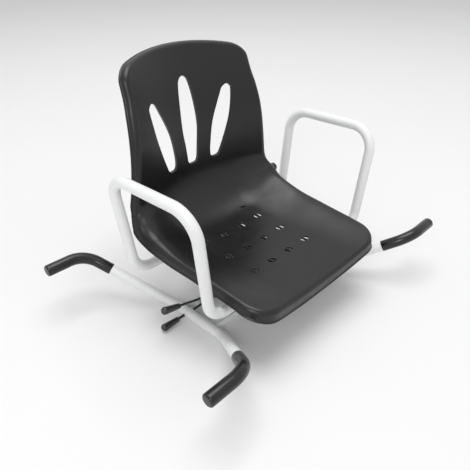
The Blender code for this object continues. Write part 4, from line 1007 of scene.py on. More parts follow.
def centre_line(distance):
    """Place and slope of the centre line; it runs straight on past its ends."""
    last = len(CENTRE_LINE) - 1
    index = min(max(int(distance / CENTRE_STEP), 0), last)
    y, z, slope = CENTRE_LINE[index]
    rest = distance - index * CENTRE_STEP
    if distance < 0.0 or index == last:
        return y + rest * math.cos(slope), z + rest * math.sin(slope), slope
    share = rest / CENTRE_STEP
    next_y, next_z, next_slope = CENTRE_LINE[index + 1]
    return (
        y + (next_y - y) * share,
        z + (next_z - z) * share,
        slope + (next_slope - slope) * share,
    )


def sheet_point(distance, x):
    """A point of the seat's upper surface."""
    y, z, slope = centre_line(distance)
    dished = 0.5 * eased(SEAT_DISHING, distance) * x * x
    across = abs(x) / eased(SEAT_HALF_WIDTHS, distance)
    curl = min(max(0.0, (across - EDGE_RISE_START) / (1 - EDGE_RISE_START)), 1.0)
    rise = dished + eased(SEAT_EDGE_RISE, distance) * curl * curl * (3 - 2 * curl)
    return Vector((x, y - math.sin(slope) * rise, z + math.cos(slope) * rise))


def sheet_normal(distance, x):
    along = sheet_point(distance + NORMAL_REACH, x) - sheet_point(distance - NORMAL_REACH, x)
    across = sheet_point(distance, x + NORMAL_REACH) - sheet_point(distance, x - NORMAL_REACH)
    return across.cross(along).normalized()


def station_over(axis, level, x, low, high):
    """The distance, between two others, at which the surface passes a level of y or z."""
    for _ in range(LEVEL_HALVINGS):
        middle = (low + high) / 2
        if sheet_point(middle, x)[axis] < level:
            low = middle
        else:
            high = middle
    return (low + high) / 2


def row_half_width(distance):
    """Half width of a row, drawn in where the row crosses a rounded corner."""
    width = eased(SEAT_HALF_WIDTHS, distance)
    for radius, from_end in ((FRONT_CORNER, distance), (TOP_CORNER, SEAT_LENGTH - distance)):
        if from_end < radius:
            width -= radius - math.sqrt(radius**2 - (radius - from_end) ** 2)
    return width


def sheet_place(distance, share):
    """Where a mesh point lies: its distance along the sheet and its x."""
    x = share * row_half_width(distance)
    across = (x / eased(SEAT_HALF_WIDTHS, distance)) ** 2
    near_front = max(0.0, 1 - distance / FRONT_BOW_REACH)
    near_top = max(0.0, 1 - (SEAT_LENGTH - distance) / TOP_ARCH_REACH)
    return distance - FRONT_BOW * across * near_front - TOP_ARCH * across * near_top, x


def smooth_outline(corners):
    """A smooth closed curve through the given points (Catmull-Rom)."""
    count = len(corners)
    points = [Vector(corner) for corner in corners]
    outline = []
    for index in range(count):
        start = points[index]
        end = points[(index + 1) % count]
        before = points[index - 1]
        after = points[(index + 2) % count]
        for step in range(SLOT_STEPS):
            t = step / SLOT_STEPS
            place = start * (1 - 3 * t**2 + 2 * t**3) + end * (3 * t**2 - 2 * t**3)
            bend = (end - before) * (t - 2 * t**2 + t**3) / 2
            lead = (after - start) * (t**3 - t**2) / 2
            outline.append(place + bend + lead)
    return outline


def widened(outline, reach):
    """A closed outline moved outwards; it runs anticlockwise."""
    count = len(outline)
    moved = []
    for index, point in enumerate(outline):
        along = outline[(index + 1) % count] - outline[index - 1]
        moved.append(point + Vector((along.y, -along.x)).normalized() * reach)
    return moved


def anticlockwise(outline):
    area = sum(a.x * b.y - b.x * a.y for a, b in zip(outline, outline[1:] + outline[:1]))
    return outline if area > 0 else list(reversed(outline))


def slot_outlines():
    """The back's three slots, as (x, z) seen from the front."""
    half = [Vector(p) for p in MIDDLE_SLOT]
    middle = half + [Vector((-p.x, p.y)) for p in reversed(half[1:-1])]
    outer = [Vector(p) for p in OUTER_SLOT]
    mirrored = [Vector((-p.x, p.y)) for p in reversed(outer)]
    return [anticlockwise(smooth_outline(corners)) for corners in (middle, outer, mirrored)]


def drain_outlines(radius, bar):
    """The two halves of each drain, either side of its bar, as (x, y) seen from above."""
    reach = math.acos(bar / 2 / radius)
    outlines = []
    for x in DRAIN_XS:
        for y in DRAIN_YS:
            for side in (-1, 1):
                arc = []
                for step in range(DRAIN_ARC_STEPS + 1):
                    angle = reach * (1 - 2 * step / DRAIN_ARC_STEPS)
                    arc.append((side * radius * math.cos(angle), radius * math.sin(angle)))
                turns = [DRAIN_CORNER] + [0.0] * (len(arc) - 2) + [DRAIN_CORNER]
                outline = [Vector(p) for p in rounded(arc, turns, DRAIN_CORNER_STEPS)]
                last = outline[-1]
                for step in range(1, DRAIN_BAR_STEPS):
                    outline.append(last.lerp(outline[0], step / DRAIN_BAR_STEPS))
                outlines.append(anticlockwise([Vector((x, y)) + p for p in outline]))
    return outlines


def upper_station(point, axis):
    """Where the upper surface passes over an (x, level) point, as (x, distance)."""
    low, high = (0.0, TURN_END) if axis == Y_AXIS else (PAN_LENGTH, SEAT_LENGTH)
    return Vector((point.x, station_over(axis, point.y, point.x, low, high)))


def under_place(point, axis, station, wall):
    """The point of the under surface with the same x and level, and its normal."""
    x, distance = station
    for _ in range(UNDER_PASSES):
        normal = sheet_normal(distance, x)
        place = sheet_point(distance, x) - normal * wall
        slope = centre_line(distance)[2]
        rate = math.cos(slope) if axis == Y_AXIS else math.sin(slope)
        x += point.x - place.x
        distance += (point.y - place[axis]) / rate
    return place, -normal


def inside(point, outline):
    """Whether a point lies in a closed outline."""
    odd = False
    for a, b in zip(outline, outline[1:] + outline[:1]):
        if (a.y > point.y) != (b.y > point.y):
            if point.x < a.x + (point.y - a.y) * (b.x - a.x) / (b.y - a.y):
                odd = not odd
    return odd


def sheet_grid(step):
    """Rows of (x, distance) points over the whole sheet; the outer ones are its edge."""
    shares = [1 - math.cos(math.pi / 2 * i / CORNER_ROWS) for i in range(CORNER_ROWS)]
    front = [FRONT_CORNER * share for share in shares]
    top = [SEAT_LENGTH - TOP_CORNER * share for share in reversed(shares)]
    straight = SEAT_LENGTH - TOP_CORNER - FRONT_CORNER
    middle_rows = round(straight / step)
    run = straight / middle_rows
    rows = front + [FRONT_CORNER + run * i for i in range(middle_rows + 1)] + top
    columns = 2 * round(MESH_HALF_WIDTH / step)
    grid = []
    for distance in rows:
        row = []
        for column in range(columns + 1):
            place, x = sheet_place(distance, 2 * column / columns - 1)
            row.append(Vector((x, place)))
        grid.append(row)
    return grid


def edge_of(grid):
    """The grid's outer points in order, anticlockwise as seen from above."""
    front = grid[0]
    right_side = [row[-1] for row in grid[1:-1]]
    top = list(reversed(grid[-1]))
    left_side = [row[0] for row in reversed(grid[1:-1])]
    return front + right_side + top + left_side


def near_hole(point, holes, gap):
    for low, high, outline in holes:
        if not (low.x - gap < point.x < high.x + gap and low.y - gap < point.y < high.y + gap):
            continue
        if inside(point, outline) or min((point - p).length for p in outline) < gap:
            return True
    return False


def unrolled_mesh(grid, edge, rings, step):
    """Points and triangles of the flat sheet, with its holes left open."""
    holes = []
    for ring in rings:
        low = Vector((min(p.x for p in ring), min(p.y for p in ring)))
        high = Vector((max(p.x for p in ring), max(p.y for p in ring)))
        holes.append((low, high, ring))
    points = list(edge)
    loops = [list(range(len(edge)))]
    for ring in rings:
        start = len(points)
        points.extend(ring)
        loops.append(list(range(start, len(points))))
    loop_of = {index: number for number, loop in enumerate(loops) for index in loop}
    for row in grid[1:-1]:
        points.extend(point for point in row[1:-1] if not near_hole(point, holes, step / 2))
    links = []
    for loop in loops:
        links.extend(zip(loop, loop[1:] + loop[:1]))
    places, _, faces, sources, _, _ = delaunay_2d_cdt(points, links, [], 0, LEAST_SPACING)
    if len(places) != len(points):
        raise RuntimeError("the seat's flat outline has points that coincide")
    outlines = [edge] + rings
    triangles = []
    for corners in faces:
        # A triangle with all its corners on one loop may lie outside the edge or in a hole
        numbers = {loop_of.get(sources[corner][0]) for corner in corners}
        if len(numbers) == 1 and None not in numbers:
            middle = (places[corners[0]] + places[corners[1]] + places[corners[2]]) / 3
            number = numbers.pop()
            if inside(middle, outlines[number]) != (number == 0):
                continue
        triangles.append([sources[corner][0] for corner in corners])
    return points, loops, triangles


def rim_profile(settings, distance):
    """Offsets (outward, down) and normals of the rim, from the top edge round to the underside."""
    roll = settings.rim_radius + eased(RIM_SWELLS, distance)
    drop = linear(RIM_DROPS, distance)
    wall = settings.thickness
    flare = settings.lip_flare
    height = settings.lip_height
    foot = roll + drop - wall / 2

    def rolled(radius, step, heading):
        angle = math.pi / 2 * step / ROLL_STEPS
        return radius * math.sin(angle), roll - radius * math.cos(angle), angle + heading

    def flared(start, step, heading):
        t = step / FLARE_STEPS
        lean = math.atan(2 * t * flare / height)
        return start + flare * t * t, foot - height + height * t, heading - lean

    profile = [rolled(roll, step, 0.0) for step in range(1, ROLL_STEPS + 1)]
    profile.append((roll, foot - height, math.pi / 2))
    profile += [flared(roll, step, math.pi / 2) for step in range(1, FLARE_STEPS + 1)]
    middle = roll + flare - wall / 2
    for step in range(1, LIP_STEPS):
        angle = math.pi / 2 + math.pi * step / LIP_STEPS
        across = middle + wall / 2 * math.sin(angle)
        profile.append((across, foot - wall / 2 * math.cos(angle), angle))
    inner = roll - wall
    profile += [flared(inner, step, 1.5 * math.pi) for step in range(FLARE_STEPS, -1, -1)]
    profile += [rolled(inner, step, math.pi) for step in range(ROLL_STEPS, 0, -1)]
    return profile


class ShellBuilder:
    """Collects the shell's vertices with their normals, and its faces."""

    def __init__(self):
        self.places = []
        self.normals = []
        self.faces = []

    def add(self, place, normal):
        self.places.append(place)
        self.normals.append(normal)
        return len(self.places) - 1

    def strip(self, rings):
        for low, high in zip(rings, rings[1:]):
            count = len(low)
            for index in range(count):
                onward = (index + 1) % count
                self.faces.append((low[onward], low[index], high[index], high[onward]))

    def rim(self, tops, bottoms, profiles):
        """Carry the sheet's edge round the rolled rim to the under surface."""
        count = len(tops)
        rings = [tops] + [[] for _ in profiles[0]] + [bottoms]
        for number, index in enumerate(tops):
            along = self.places[tops[(number + 1) % count]] - self.places[tops[number - 1]]
            up = self.normals[index]
            out = along.cross(up).normalized()
            for step, (reach, fall, angle) in enumerate(profiles[number]):
                place = self.places[index] + out * reach - up * fall
                rings[step + 1].append(self.add(place, out * math.sin(angle) + up * math.cos(angle)))
        self.strip(rings)

    def round_corner(self, start, corner, end, from_normal, to_normal, steps=4):
        """Points of a rounded edge between two faces that meet in a corner, without its ends."""
        made = []
        for step in range(1, steps):
            t = step / steps
            angle = math.pi / 2 * t
            normal = (from_normal * math.cos(angle) + to_normal * math.sin(angle)).normalized()
            made.append(self.add(eased_corner(start, corner, end, t), normal))
        return made

    def collar(self, end, bottom, inward, through, wall, rounding):
        """Points from a slot's wall over the back of its collar to the under surface."""
        low = end - through * rounding
        back = end - inward * rounding
        outer = end - inward * wall
        turn = outer + inward * rounding
        side = outer - through * rounding
        chain = self.round_corner(low, end, back, inward, through)
        chain.append(self.add(back, through))
        chain.append(self.add(turn, through))
        chain += self.round_corner(turn, outer, side, through, -inward)
        chain.append(self.add(side, -inward))
        chain.append(self.add(self.places[bottom] + through * rounding, -inward))
        return chain

    def hole(self, tops, bottoms, ends, through, rounding, collar_wall=0.0):
        """Wall a hole straight through the sheet between two corners, with its edges rounded."""
        count = len(tops)
        chains = []
        for number, (top, bottom) in enumerate(zip(tops, bottoms)):
            corner, end = ends[number]
            along = ends[(number + 1) % count][0] - ends[number - 1][0]
            inward = through.cross(along).normalized()
            if inward.dot(self.places[top] - corner) > 0:
                inward.negate()
            high = corner + through * rounding
            low = end - through * rounding
            place, normal = self.places[top], self.normals[top]
            chain = [top] + self.round_corner(place, corner, high, normal, inward)
            chain.append(self.add(high, inward))
            chain.append(self.add(low, inward))
            if collar_wall:
                chain += self.collar(end, bottom, inward, through, collar_wall, rounding)
            else:
                place, normal = self.places[bottom], self.normals[bottom]
                chain += self.round_corner(low, end, place, inward, normal)
            chains.append(chain + [bottom])
        self.strip([list(ring) for ring in zip(*chains)])


def make_shell_mesh(settings):
    """The whole moulded shell as one closed mesh with exact normals."""
    wall = settings.thickness
    rounding = settings.hole_edge
    grid = sheet_grid(settings.mesh_step)
    edge = edge_of(grid)
    holes = [(Z_AXIS, outline) for outline in slot_outlines()]
    drains = drain_outlines(settings.drain_radius, settings.drain_bar)
    holes += [(Y_AXIS, outline) for outline in drains]
    rims = [(axis, widened(outline, rounding)) for axis, outline in holes]
    rings = [[upper_station(point, axis) for point in outline] for axis, outline in rims]
    points, loops, triangles = unrolled_mesh(grid, edge, rings, settings.mesh_step)
    builder = ShellBuilder()
    tops = []
    bottoms = []
    for point in points:
        place = sheet_point(point.y, point.x)
        normal = sheet_normal(point.y, point.x)
        tops.append(builder.add(place, normal))
        bottoms.append(builder.add(place - normal * wall, -normal))
    for a, b, c in triangles:
        builder.faces.append((tops[a], tops[b], tops[c]))
        builder.faces.append((bottoms[c], bottoms[b], bottoms[a]))
    profiles = []
    for index in loops[0]:
        distance = min(max(points[index].y, 0.0), SEAT_LENGTH)
        profiles.append(rim_profile(settings, distance))
    builder.rim([tops[i] for i in loops[0]], [bottoms[i] for i in loops[0]], profiles)
    for loop, (axis, outline) in zip(loops[1:], holes):
        slot = axis == Z_AXIS
        through = Vector((0.0, 1.0, 0.0)) if slot else Vector((0.0, 0.0, -1.0))
        collar_wall = settings.collar_wall if slot else 0.0
        ends = []
        for index, point, wide in zip(loop, outline, widened(outline, max(rounding, collar_wall))):
            station = upper_station(point, axis)
            corner = sheet_point(station.y, station.x)
            if slot:
                ends.append((corner, corner + through * settings.collar_depth))
            else:
                ends.append((corner, under_place(point, axis, station, wall)[0]))
            place, normal = under_place(wide, axis, points[index], wall)
            builder.places[bottoms[index]] = place
            builder.normals[bottoms[index]] = normal
        loop_tops = [tops[i] for i in loop]
        loop_bottoms = [bottoms[i] for i in loop]
        builder.hole(loop_tops, loop_bottoms, ends, through, rounding, collar_wall)
    return builder


def shell_mesh(name, builder):
    mesh = bpy.data.meshes.new(name)
    mesh.from_pydata([tuple(p) for p in builder.places], [], builder.faces)
    shape = bmesh.new()
    shape.from_mesh(mesh)
    bmesh.ops.recalc_face_normals(shape, faces=shape.faces)
    shape.to_mesh(mesh)
    shape.free()
    mesh.shade_smooth()
    mesh.normals_split_custom_set_from_vertices([tuple(n) for n in builder.normals])
    return mesh


def foot_places(x):
    return [(side * x, y) for side in (-1, 1) for y in (FRONT_FOOT_Y, REAR_FOOT_Y)]


def boss_low(context):
    """Level of the bosses' feet, which stand on the armrests' runs."""
    return RUN_Z + context.scene.bath_seat_tubing.tube_radius + GAP


def corner_name(x, y):
    return f"{'front' if y < 0 else 'rear'}_{'left' if x > 0 else 'right'}"


# Operators

class BATHSEAT_OT_shell(bpy.types.Operator):
    """Mould the seat shell with its rim, slots, drains and bosses"""

    bl_idname = "bathseat.shell"
    bl_label = "Seat shell"

    def execute(self, context):
        settings = context.scene.bath_seat_shell
        low = boss_low(context)
        builder = make_shell_mesh(settings)
        shell = linked("shell_moulding", shell_mesh("shell_moulding", builder))
        dress(shell, "black_seat_plastic", "seat", "seat_shell")
        for x, y in foot_places(SEAT_SCREW_X):
            distance = station_over(Y_AXIS, y, x, 0.0, TURN_END)
            top = sheet_point(distance, x).z - settings.thickness * BOSS_IN_SHEET
            bore_end = low + SEAT_SCREW_BITE + BOSS_EDGE
            profile = [
                (0.0, bore_end),
                (SCREW_HOLE, bore_end),
                (SCREW_HOLE, low),
                (BOSS_RADIUS - BOSS_EDGE, low),
                (BOSS_RADIUS, low + BOSS_EDGE),
                (BOSS_RADIUS, top),
                (0.0, top),
            ]
            place = Matrix.Translation((x, y, 0.0))
            boss = turned(f"shell_boss_{corner_name(x, y)}", profile, MIDDLE_SIDES, matrix=place)
            dress(boss, "black_seat_plastic", "seat")
        return {"FINISHED"}


class BATHSEAT_OT_armrests(bpy.types.Operator):
    """Bend the two armrest loops and close the ends of their feet"""

    bl_idname = "bathseat.armrests"
    bl_label = "Armrests"

    def execute(self, context):
        tubing = context.scene.bath_seat_tubing
        radius = tubing.tube_radius
        for label, side in SIDES:
            corners = [
                (side * RUN_END_X, FRONT_FOOT_Y, RUN_Z),
                (side * FOOT_X, FRONT_FOOT_Y, RUN_Z),
                (side * RAIL_X, RAIL_FRONT_Y, RAIL_FRONT_Z),
                (side * RAIL_X, RAIL_REAR_Y, RAIL_REAR_Z),
                (side * FOOT_X, REAR_FOOT_Y, RUN_Z),
                (side * RUN_END_X, REAR_FOOT_Y, RUN_Z),
            ]
            path = bent_path(corners, [FOOT_BEND, RAIL_BEND, RAIL_BEND, FOOT_BEND])
            cut = rounded_end(radius, TUBE_END_ROUNDING)
            loop = swept_bar(f"armrest_loop_{label}", path, radius, cut, cut, tubing.tube_sides)
            dress(loop, "white_powder_coat", "seat", f"armrest_{label}")
            for end, y in (("front", FRONT_FOOT_Y), ("rear", REAR_FOOT_Y)):
                profile = [
                    (0.0, PLUG_FLANGE + GAP),
                    (radius, PLUG_FLANGE + GAP),
                    (radius, GAP),
                    (0.0, GAP),
                ]
                place = aim((side * RUN_END_X, y, RUN_Z), (-side, 0.0, 0.0))
                plug = turned(f"foot_plug_{end}_{label}", profile, SMALL_SIDES, PLUG_ROUNDING, place)
                dress(plug, "black_grip", "seat", f"armrest_plug_{end}_{label}")
        return {"FINISHED"}


def side_tube_corners(side):
    return [
        (side * HOOK_END_X, -HOOK_Y, HOOK_Z),
        (side * HOOK_CORNER_X, -HOOK_Y, HOOK_Z),
        (side * CRADLE_X, -CRADLE_Y, CRADLE_Z),
        (side * CRADLE_X, CRADLE_Y, CRADLE_Z),
        (side * HOOK_CORNER_X, HOOK_Y, HOOK_Z),
        (side * HOOK_END_X, HOOK_Y, HOOK_Z),
    ]


class BATHSEAT_OT_side_tubes(bpy.types.Operator):
    """Bend the two side tubes of the base"""

    bl_idname = "bathseat.side_tubes"
    bl_label = "Side tubes"

    def execute(self, context):
        tubing = context.scene.bath_seat_tubing
        radius = tubing.tube_radius
        cut = rounded_end(radius, TUBE_END_ROUNDING)
        for label, side in SIDES:
            bends = [HOOK_BEND, CRADLE_BEND, CRADLE_BEND, HOOK_BEND]
            path = bent_path(side_tube_corners(side), bends)
            rail = swept_bar(f"bath_side_rail_{label}", path, radius, cut, cut, tubing.tube_sides)
            if side < 0:
                low = (-CRADLE_X - 2 * radius, ROD_Y, CRADLE_Z)
                high = (-CRADLE_X + 2 * radius, ROD_Y, CRADLE_Z)
                carve(rail, rod_tool(low, high, ROD_BUSH_RADIUS + GAP))
            dress(rail, "white_powder_coat", "base", f"side_tube_{label}")
        return {"FINISHED"}


class BATHSEAT_OT_rim_sleeves(bpy.types.Operator):
    """Draw the four rubber sleeves over the hooks"""

    bl_idname = "bathseat.rim_sleeves"
    bl_label = "Rim sleeves"

    def execute(self, context):
        tubing = context.scene.bath_seat_tubing
        for label, side in SIDES:
            for end, way in ENDS:
                corners = [Vector(corner) for corner in side_tube_corners(side)]
                if way > 0:
                    corners.reverse()
                tip, corner, cradle = corners[:3]
                outward = (tip - corner).normalized()
                arm = (cradle - corner).normalized()
                start = tip + outward * tubing.sleeve_cap
                mouth = corner + arm * SLEEVE_ARM_LENGTH
                path = bent_path([start, corner, mouth], [HOOK_BEND], SLEEVE_BEND_STEPS)
                sleeve = swept_bar(
                    f"bath_rim_sleeve_{end}_{label}",
                    path,
                    tubing.sleeve_radius,
                    rounded_end(tubing.sleeve_radius, tubing.sleeve_rounding, SLEEVE_END_STEPS),
                    rounded_end(tubing.sleeve_radius, SLEEVE_MOUTH_ROUNDING),
                    tubing.tube_sides + SLEEVE_EXTRA_SIDES,
                )
                dress(sleeve, "black_rubber", "base", f"rim_sleeve_{end}_{label}")
        return {"FINISHED"}


class BATHSEAT_OT_tray(bpy.types.Operator):
    """Fold the tray between the side tubes"""

    bl_idname = "bathseat.tray"
    bl_label = "Tray"

    def execute(self, context):
        radius = context.scene.bath_seat_tubing.tube_radius
        half = TRAY_HALF_Y
        inner = half - TRAY_WALL
        corners = [
            (-half, TRAY_FLANGE_HEIGHT),
            (-half, 0.0),
            (half, 0.0),
            (half, TRAY_FLANGE_HEIGHT),
            (inner, TRAY_FLANGE_HEIGHT),
            (inner, TRAY_WALL),
            (-inner, TRAY_WALL),
            (-inner, TRAY_FLANGE_HEIGHT),
        ]
        outer_radii = [TRAY_CORNER, TRAY_FOLD, TRAY_FOLD, TRAY_CORNER]
        bend = TRAY_FOLD - TRAY_WALL
        outline = rounded(corners, outer_radii + [TRAY_CORNER, bend, bend, TRAY_CORNER])
        length = 2 * (CRADLE_X - TRAY_TRIM)
        tray = flat_plate("base_tray_folded", [outline], upright(0, 0, TRAY_BOTTOM_Z), length)
        copes = []
        for side in (-1, 1):
            low = (side * CRADLE_X, -COPE_HALF_LENGTH, CRADLE_Z)
            high = (side * CRADLE_X, COPE_HALF_LENGTH, CRADLE_Z)
            copes.append(rod_tool(low, high, radius + GAP, COPE_SIDES))
        carve(tray, *copes)
        break_edges(tray, TRAY_EDGE_BREAK)
        dress(tray, "white_powder_coat", "base", "base_tray")
        return {"FINISHED"}


class BATHSEAT_OT_hub(bpy.types.Operator):
    """Turn the hub, cut the index plate, and fit the bushes and the thrust washer"""

    bl_idname = "bathseat.hub"
    bl_label = "Hub and index plate"

    def execute(self, context):
        edge = context.scene.bath_seat_mechanism.edge_break
        low = HUB_LOW.z
        top = HUB_HIGH.z
        hub = turned("hub_column", ring_profile(HUB_BORE, HUB_RADIUS, low, top), LARGE_SIDES, edge)
        window_low = (-2 * HUB_RADIUS, -WINDOW_HALF_Y, low - WINDOW_CUT_PAST)
        carve(hub, block_tool(window_low, (WINDOW_END_X, WINDOW_HALF_Y, low + WINDOW_HEIGHT)))
        dress(hub, "white_powder_coat", "base", "hub_tube")

        reach = math.hypot(PIN_X, PIN_Y)
        heading = math.atan2(PIN_Y, PIN_X)
        outlines = [circle(INDEX_PLATE_RADIUS, PLATE_SIDES), circle(HUB_RADIUS + GAP, LARGE_SIDES)]
        for stop in range(INDEX_STOPS):
            angle = heading + math.tau * stop / INDEX_STOPS
            centre = (reach * math.cos(angle), reach * math.sin(angle))
            outlines.append(circle(GUIDE_BORE, SMALL_SIDES, centre))
        plate = level_plate("index_disc", outlines, INDEX_LOW.z, INDEX_HIGH.z)
        break_edges(plate, edge)
        dress(plate, "zinc_steel", "base", "index_plate")

        bottom = low + LOWER_BUSH_LIFT
        profile = ring_profile(BUSH_BORE, BUSH_RADIUS, bottom, bottom + LOWER_BUSH_LENGTH)
        bush = turned("hub_bush_lower", profile, LARGE_SIDES, edge)
        dress(bush, "nylon", "base", "lower_bush")
        under = top + GAP
        over = under + BUSH_FLANGE
        foot = top - UPPER_BUSH_LENGTH
        profile = [
            (HUB_RADIUS, over),
            (HUB_RADIUS, under),
            (BUSH_RADIUS, under),
            (BUSH_RADIUS, foot),
            (BUSH_BORE, foot),
            (BUSH_BORE, over),
        ]
        bush = turned("hub_bush_upper", profile, LARGE_SIDES, edge)
        dress(bush, "nylon", "base", "upper_bush")
        bottom = over + GAP
        profile = ring_profile(BUSH_BORE, HUB_RADIUS, bottom, bottom + THRUST_WASHER)
        washer = turned("hub_thrust_washer", profile, LARGE_SIDES, edge)
        dress(washer, "zinc_steel", "base", "thrust_washer")
        return {"FINISHED"}


class BATHSEAT_OT_carrier(bpy.types.Operator):
    """Turn the spindle and cut the carrier plate that it bears"""

    bl_idname = "bathseat.carrier"
    bl_label = "Spindle and carrier plate"

    def execute(self, context):
        edge = context.scene.bath_seat_mechanism.edge_break
        low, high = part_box("spindle")
        groove_top = CRADLE_Z + GROOVE_HEIGHT / 2
        groove_low = CRADLE_Z - GROOVE_HEIGHT / 2
        collar_low = HUB_HIGH.z + GAP * 3 + BUSH_FLANGE + THRUST_WASHER
        collar_top = collar_low + COLLAR_HEIGHT
        profile = [
            (SPINDLE_RADIUS, high.z),
            (SPINDLE_RADIUS, collar_top),
            (COLLAR_RADIUS, collar_top),
            (COLLAR_RADIUS, collar_low),
            (SPINDLE_RADIUS, collar_low),
            (SPINDLE_RADIUS, groove_top),
            (GROOVE_RADIUS, groove_top),
            (GROOVE_RADIUS, groove_low),
            (SPINDLE_RADIUS, groove_low),
            (SPINDLE_RADIUS, low.z),
            (SPINDLE_BORE, low.z),
            (SPINDLE_BORE, high.z),
        ]
        post = turned("swivel_post", profile, LARGE_SIDES, edge)
        dress(post, "zinc_steel", "seat", "spindle")
        lug_x = PIN_X - LUG_MARGIN
        corners = [
            (CARRIER_HALF_X, -CARRIER_HALF_Y),
            (CARRIER_HALF_X, CARRIER_HALF_Y),
            (-CARRIER_HALF_X, CARRIER_HALF_Y),
            (-CARRIER_HALF_X, PIN_Y + 1.5 * LUG_MARGIN),
            (lug_x, PIN_Y + LUG_MARGIN),
            (lug_x, PIN_Y - LUG_MARGIN),
            (-CARRIER_HALF_X, PIN_Y - 1.5 * LUG_MARGIN),
            (-CARRIER_HALF_X, -CARRIER_HALF_Y),
        ]
        outlines = [rounded(corners, PLATE_CORNER)]
        for place in foot_places(CARRIER_BOLT_X):
            outlines.append(circle(SCREW_HOLE, SCREW_HOLE_SIDES, place))
        plate = level_plate("carrier_plate_cut", outlines, CARRIER_LOW.z, CARRIER_HIGH.z)
        break_edges(plate, edge)
        dress(plate, "white_powder_coat", "seat", "seat_carrier_plate")
        return {"FINISHED"}


def button_screw(name, shank, matrix, edge):
    """A button-head screw with a hexagonal socket; its head hangs below its shank."""
    profile = [
        (0.0, shank),
        (SCREW_RADIUS - SCREW_TIP, shank),
        (SCREW_RADIUS, shank - SCREW_TIP),
        (SCREW_RADIUS, 0.0),
        (HEAD_RADIUS, 0.0),
    ]
    profile += [(HEAD_RADIUS * math.sin(a), -HEAD_HEIGHT * math.cos(a)) for a in HEAD_CROWN_ANGLES]
    profile.append((0.0, profile[-1][1]))
    screw = turned(name, profile, MIDDLE_SIDES, edge)
    socket_end = (0.0, 0.0, -HEAD_HEIGHT + SOCKET_DEPTH)
    below = (0.0, 0.0, -2 * HEAD_HEIGHT)
    carve(screw, rod_tool(below, socket_end, SOCKET_RADIUS, SOCKET_SIDES))
    screw.data.transform(matrix)
    return screw


class BATHSEAT_OT_fasteners(bpy.types.Operator):
    """Drive the seat screws with their washers, and the armrest bolts"""

    bl_idname = "bathseat.fasteners"
    bl_label = "Fasteners"

    def execute(self, context):
        edge = context.scene.bath_seat_mechanism.edge_break
        radius = context.scene.bath_seat_tubing.tube_radius
        head_z = RUN_Z - radius - GAP * 2 - WASHER_THICKNESS
        shank = boss_low(context) + SEAT_SCREW_BITE - head_z
        for x, y in foot_places(SEAT_SCREW_X):
            label = corner_name(x, y)
            place = Matrix.Translation((x, y, head_z))
            screw = button_screw(f"shell_screw_{label}", shank, place, edge)
            dress(screw, "zinc_steel", "seat", f"seat_screw_{label}")
            profile = ring_profile(SCREW_HOLE, WASHER_RADIUS, GAP, GAP + WASHER_THICKNESS)
            washer = turned(f"shell_washer_{label}", profile, MIDDLE_SIDES, edge, place)
            dress(washer, "zinc_steel", "seat", f"seat_screw_washer_{label}")
        head_z = CARRIER_LOW.z - GAP
        shank = CARRIER_HIGH.z + CARRIER_BOLT_BITE - head_z
        for x, y in foot_places(CARRIER_BOLT_X):
            label = corner_name(x, y)
            place = Matrix.Translation((x, y, head_z))
            bolt = button_screw(f"foot_bolt_{label}", shank, place, edge)
            dress(bolt, "zinc_steel", "seat", f"armrest_bolt_{label}")
        return {"FINISHED"}


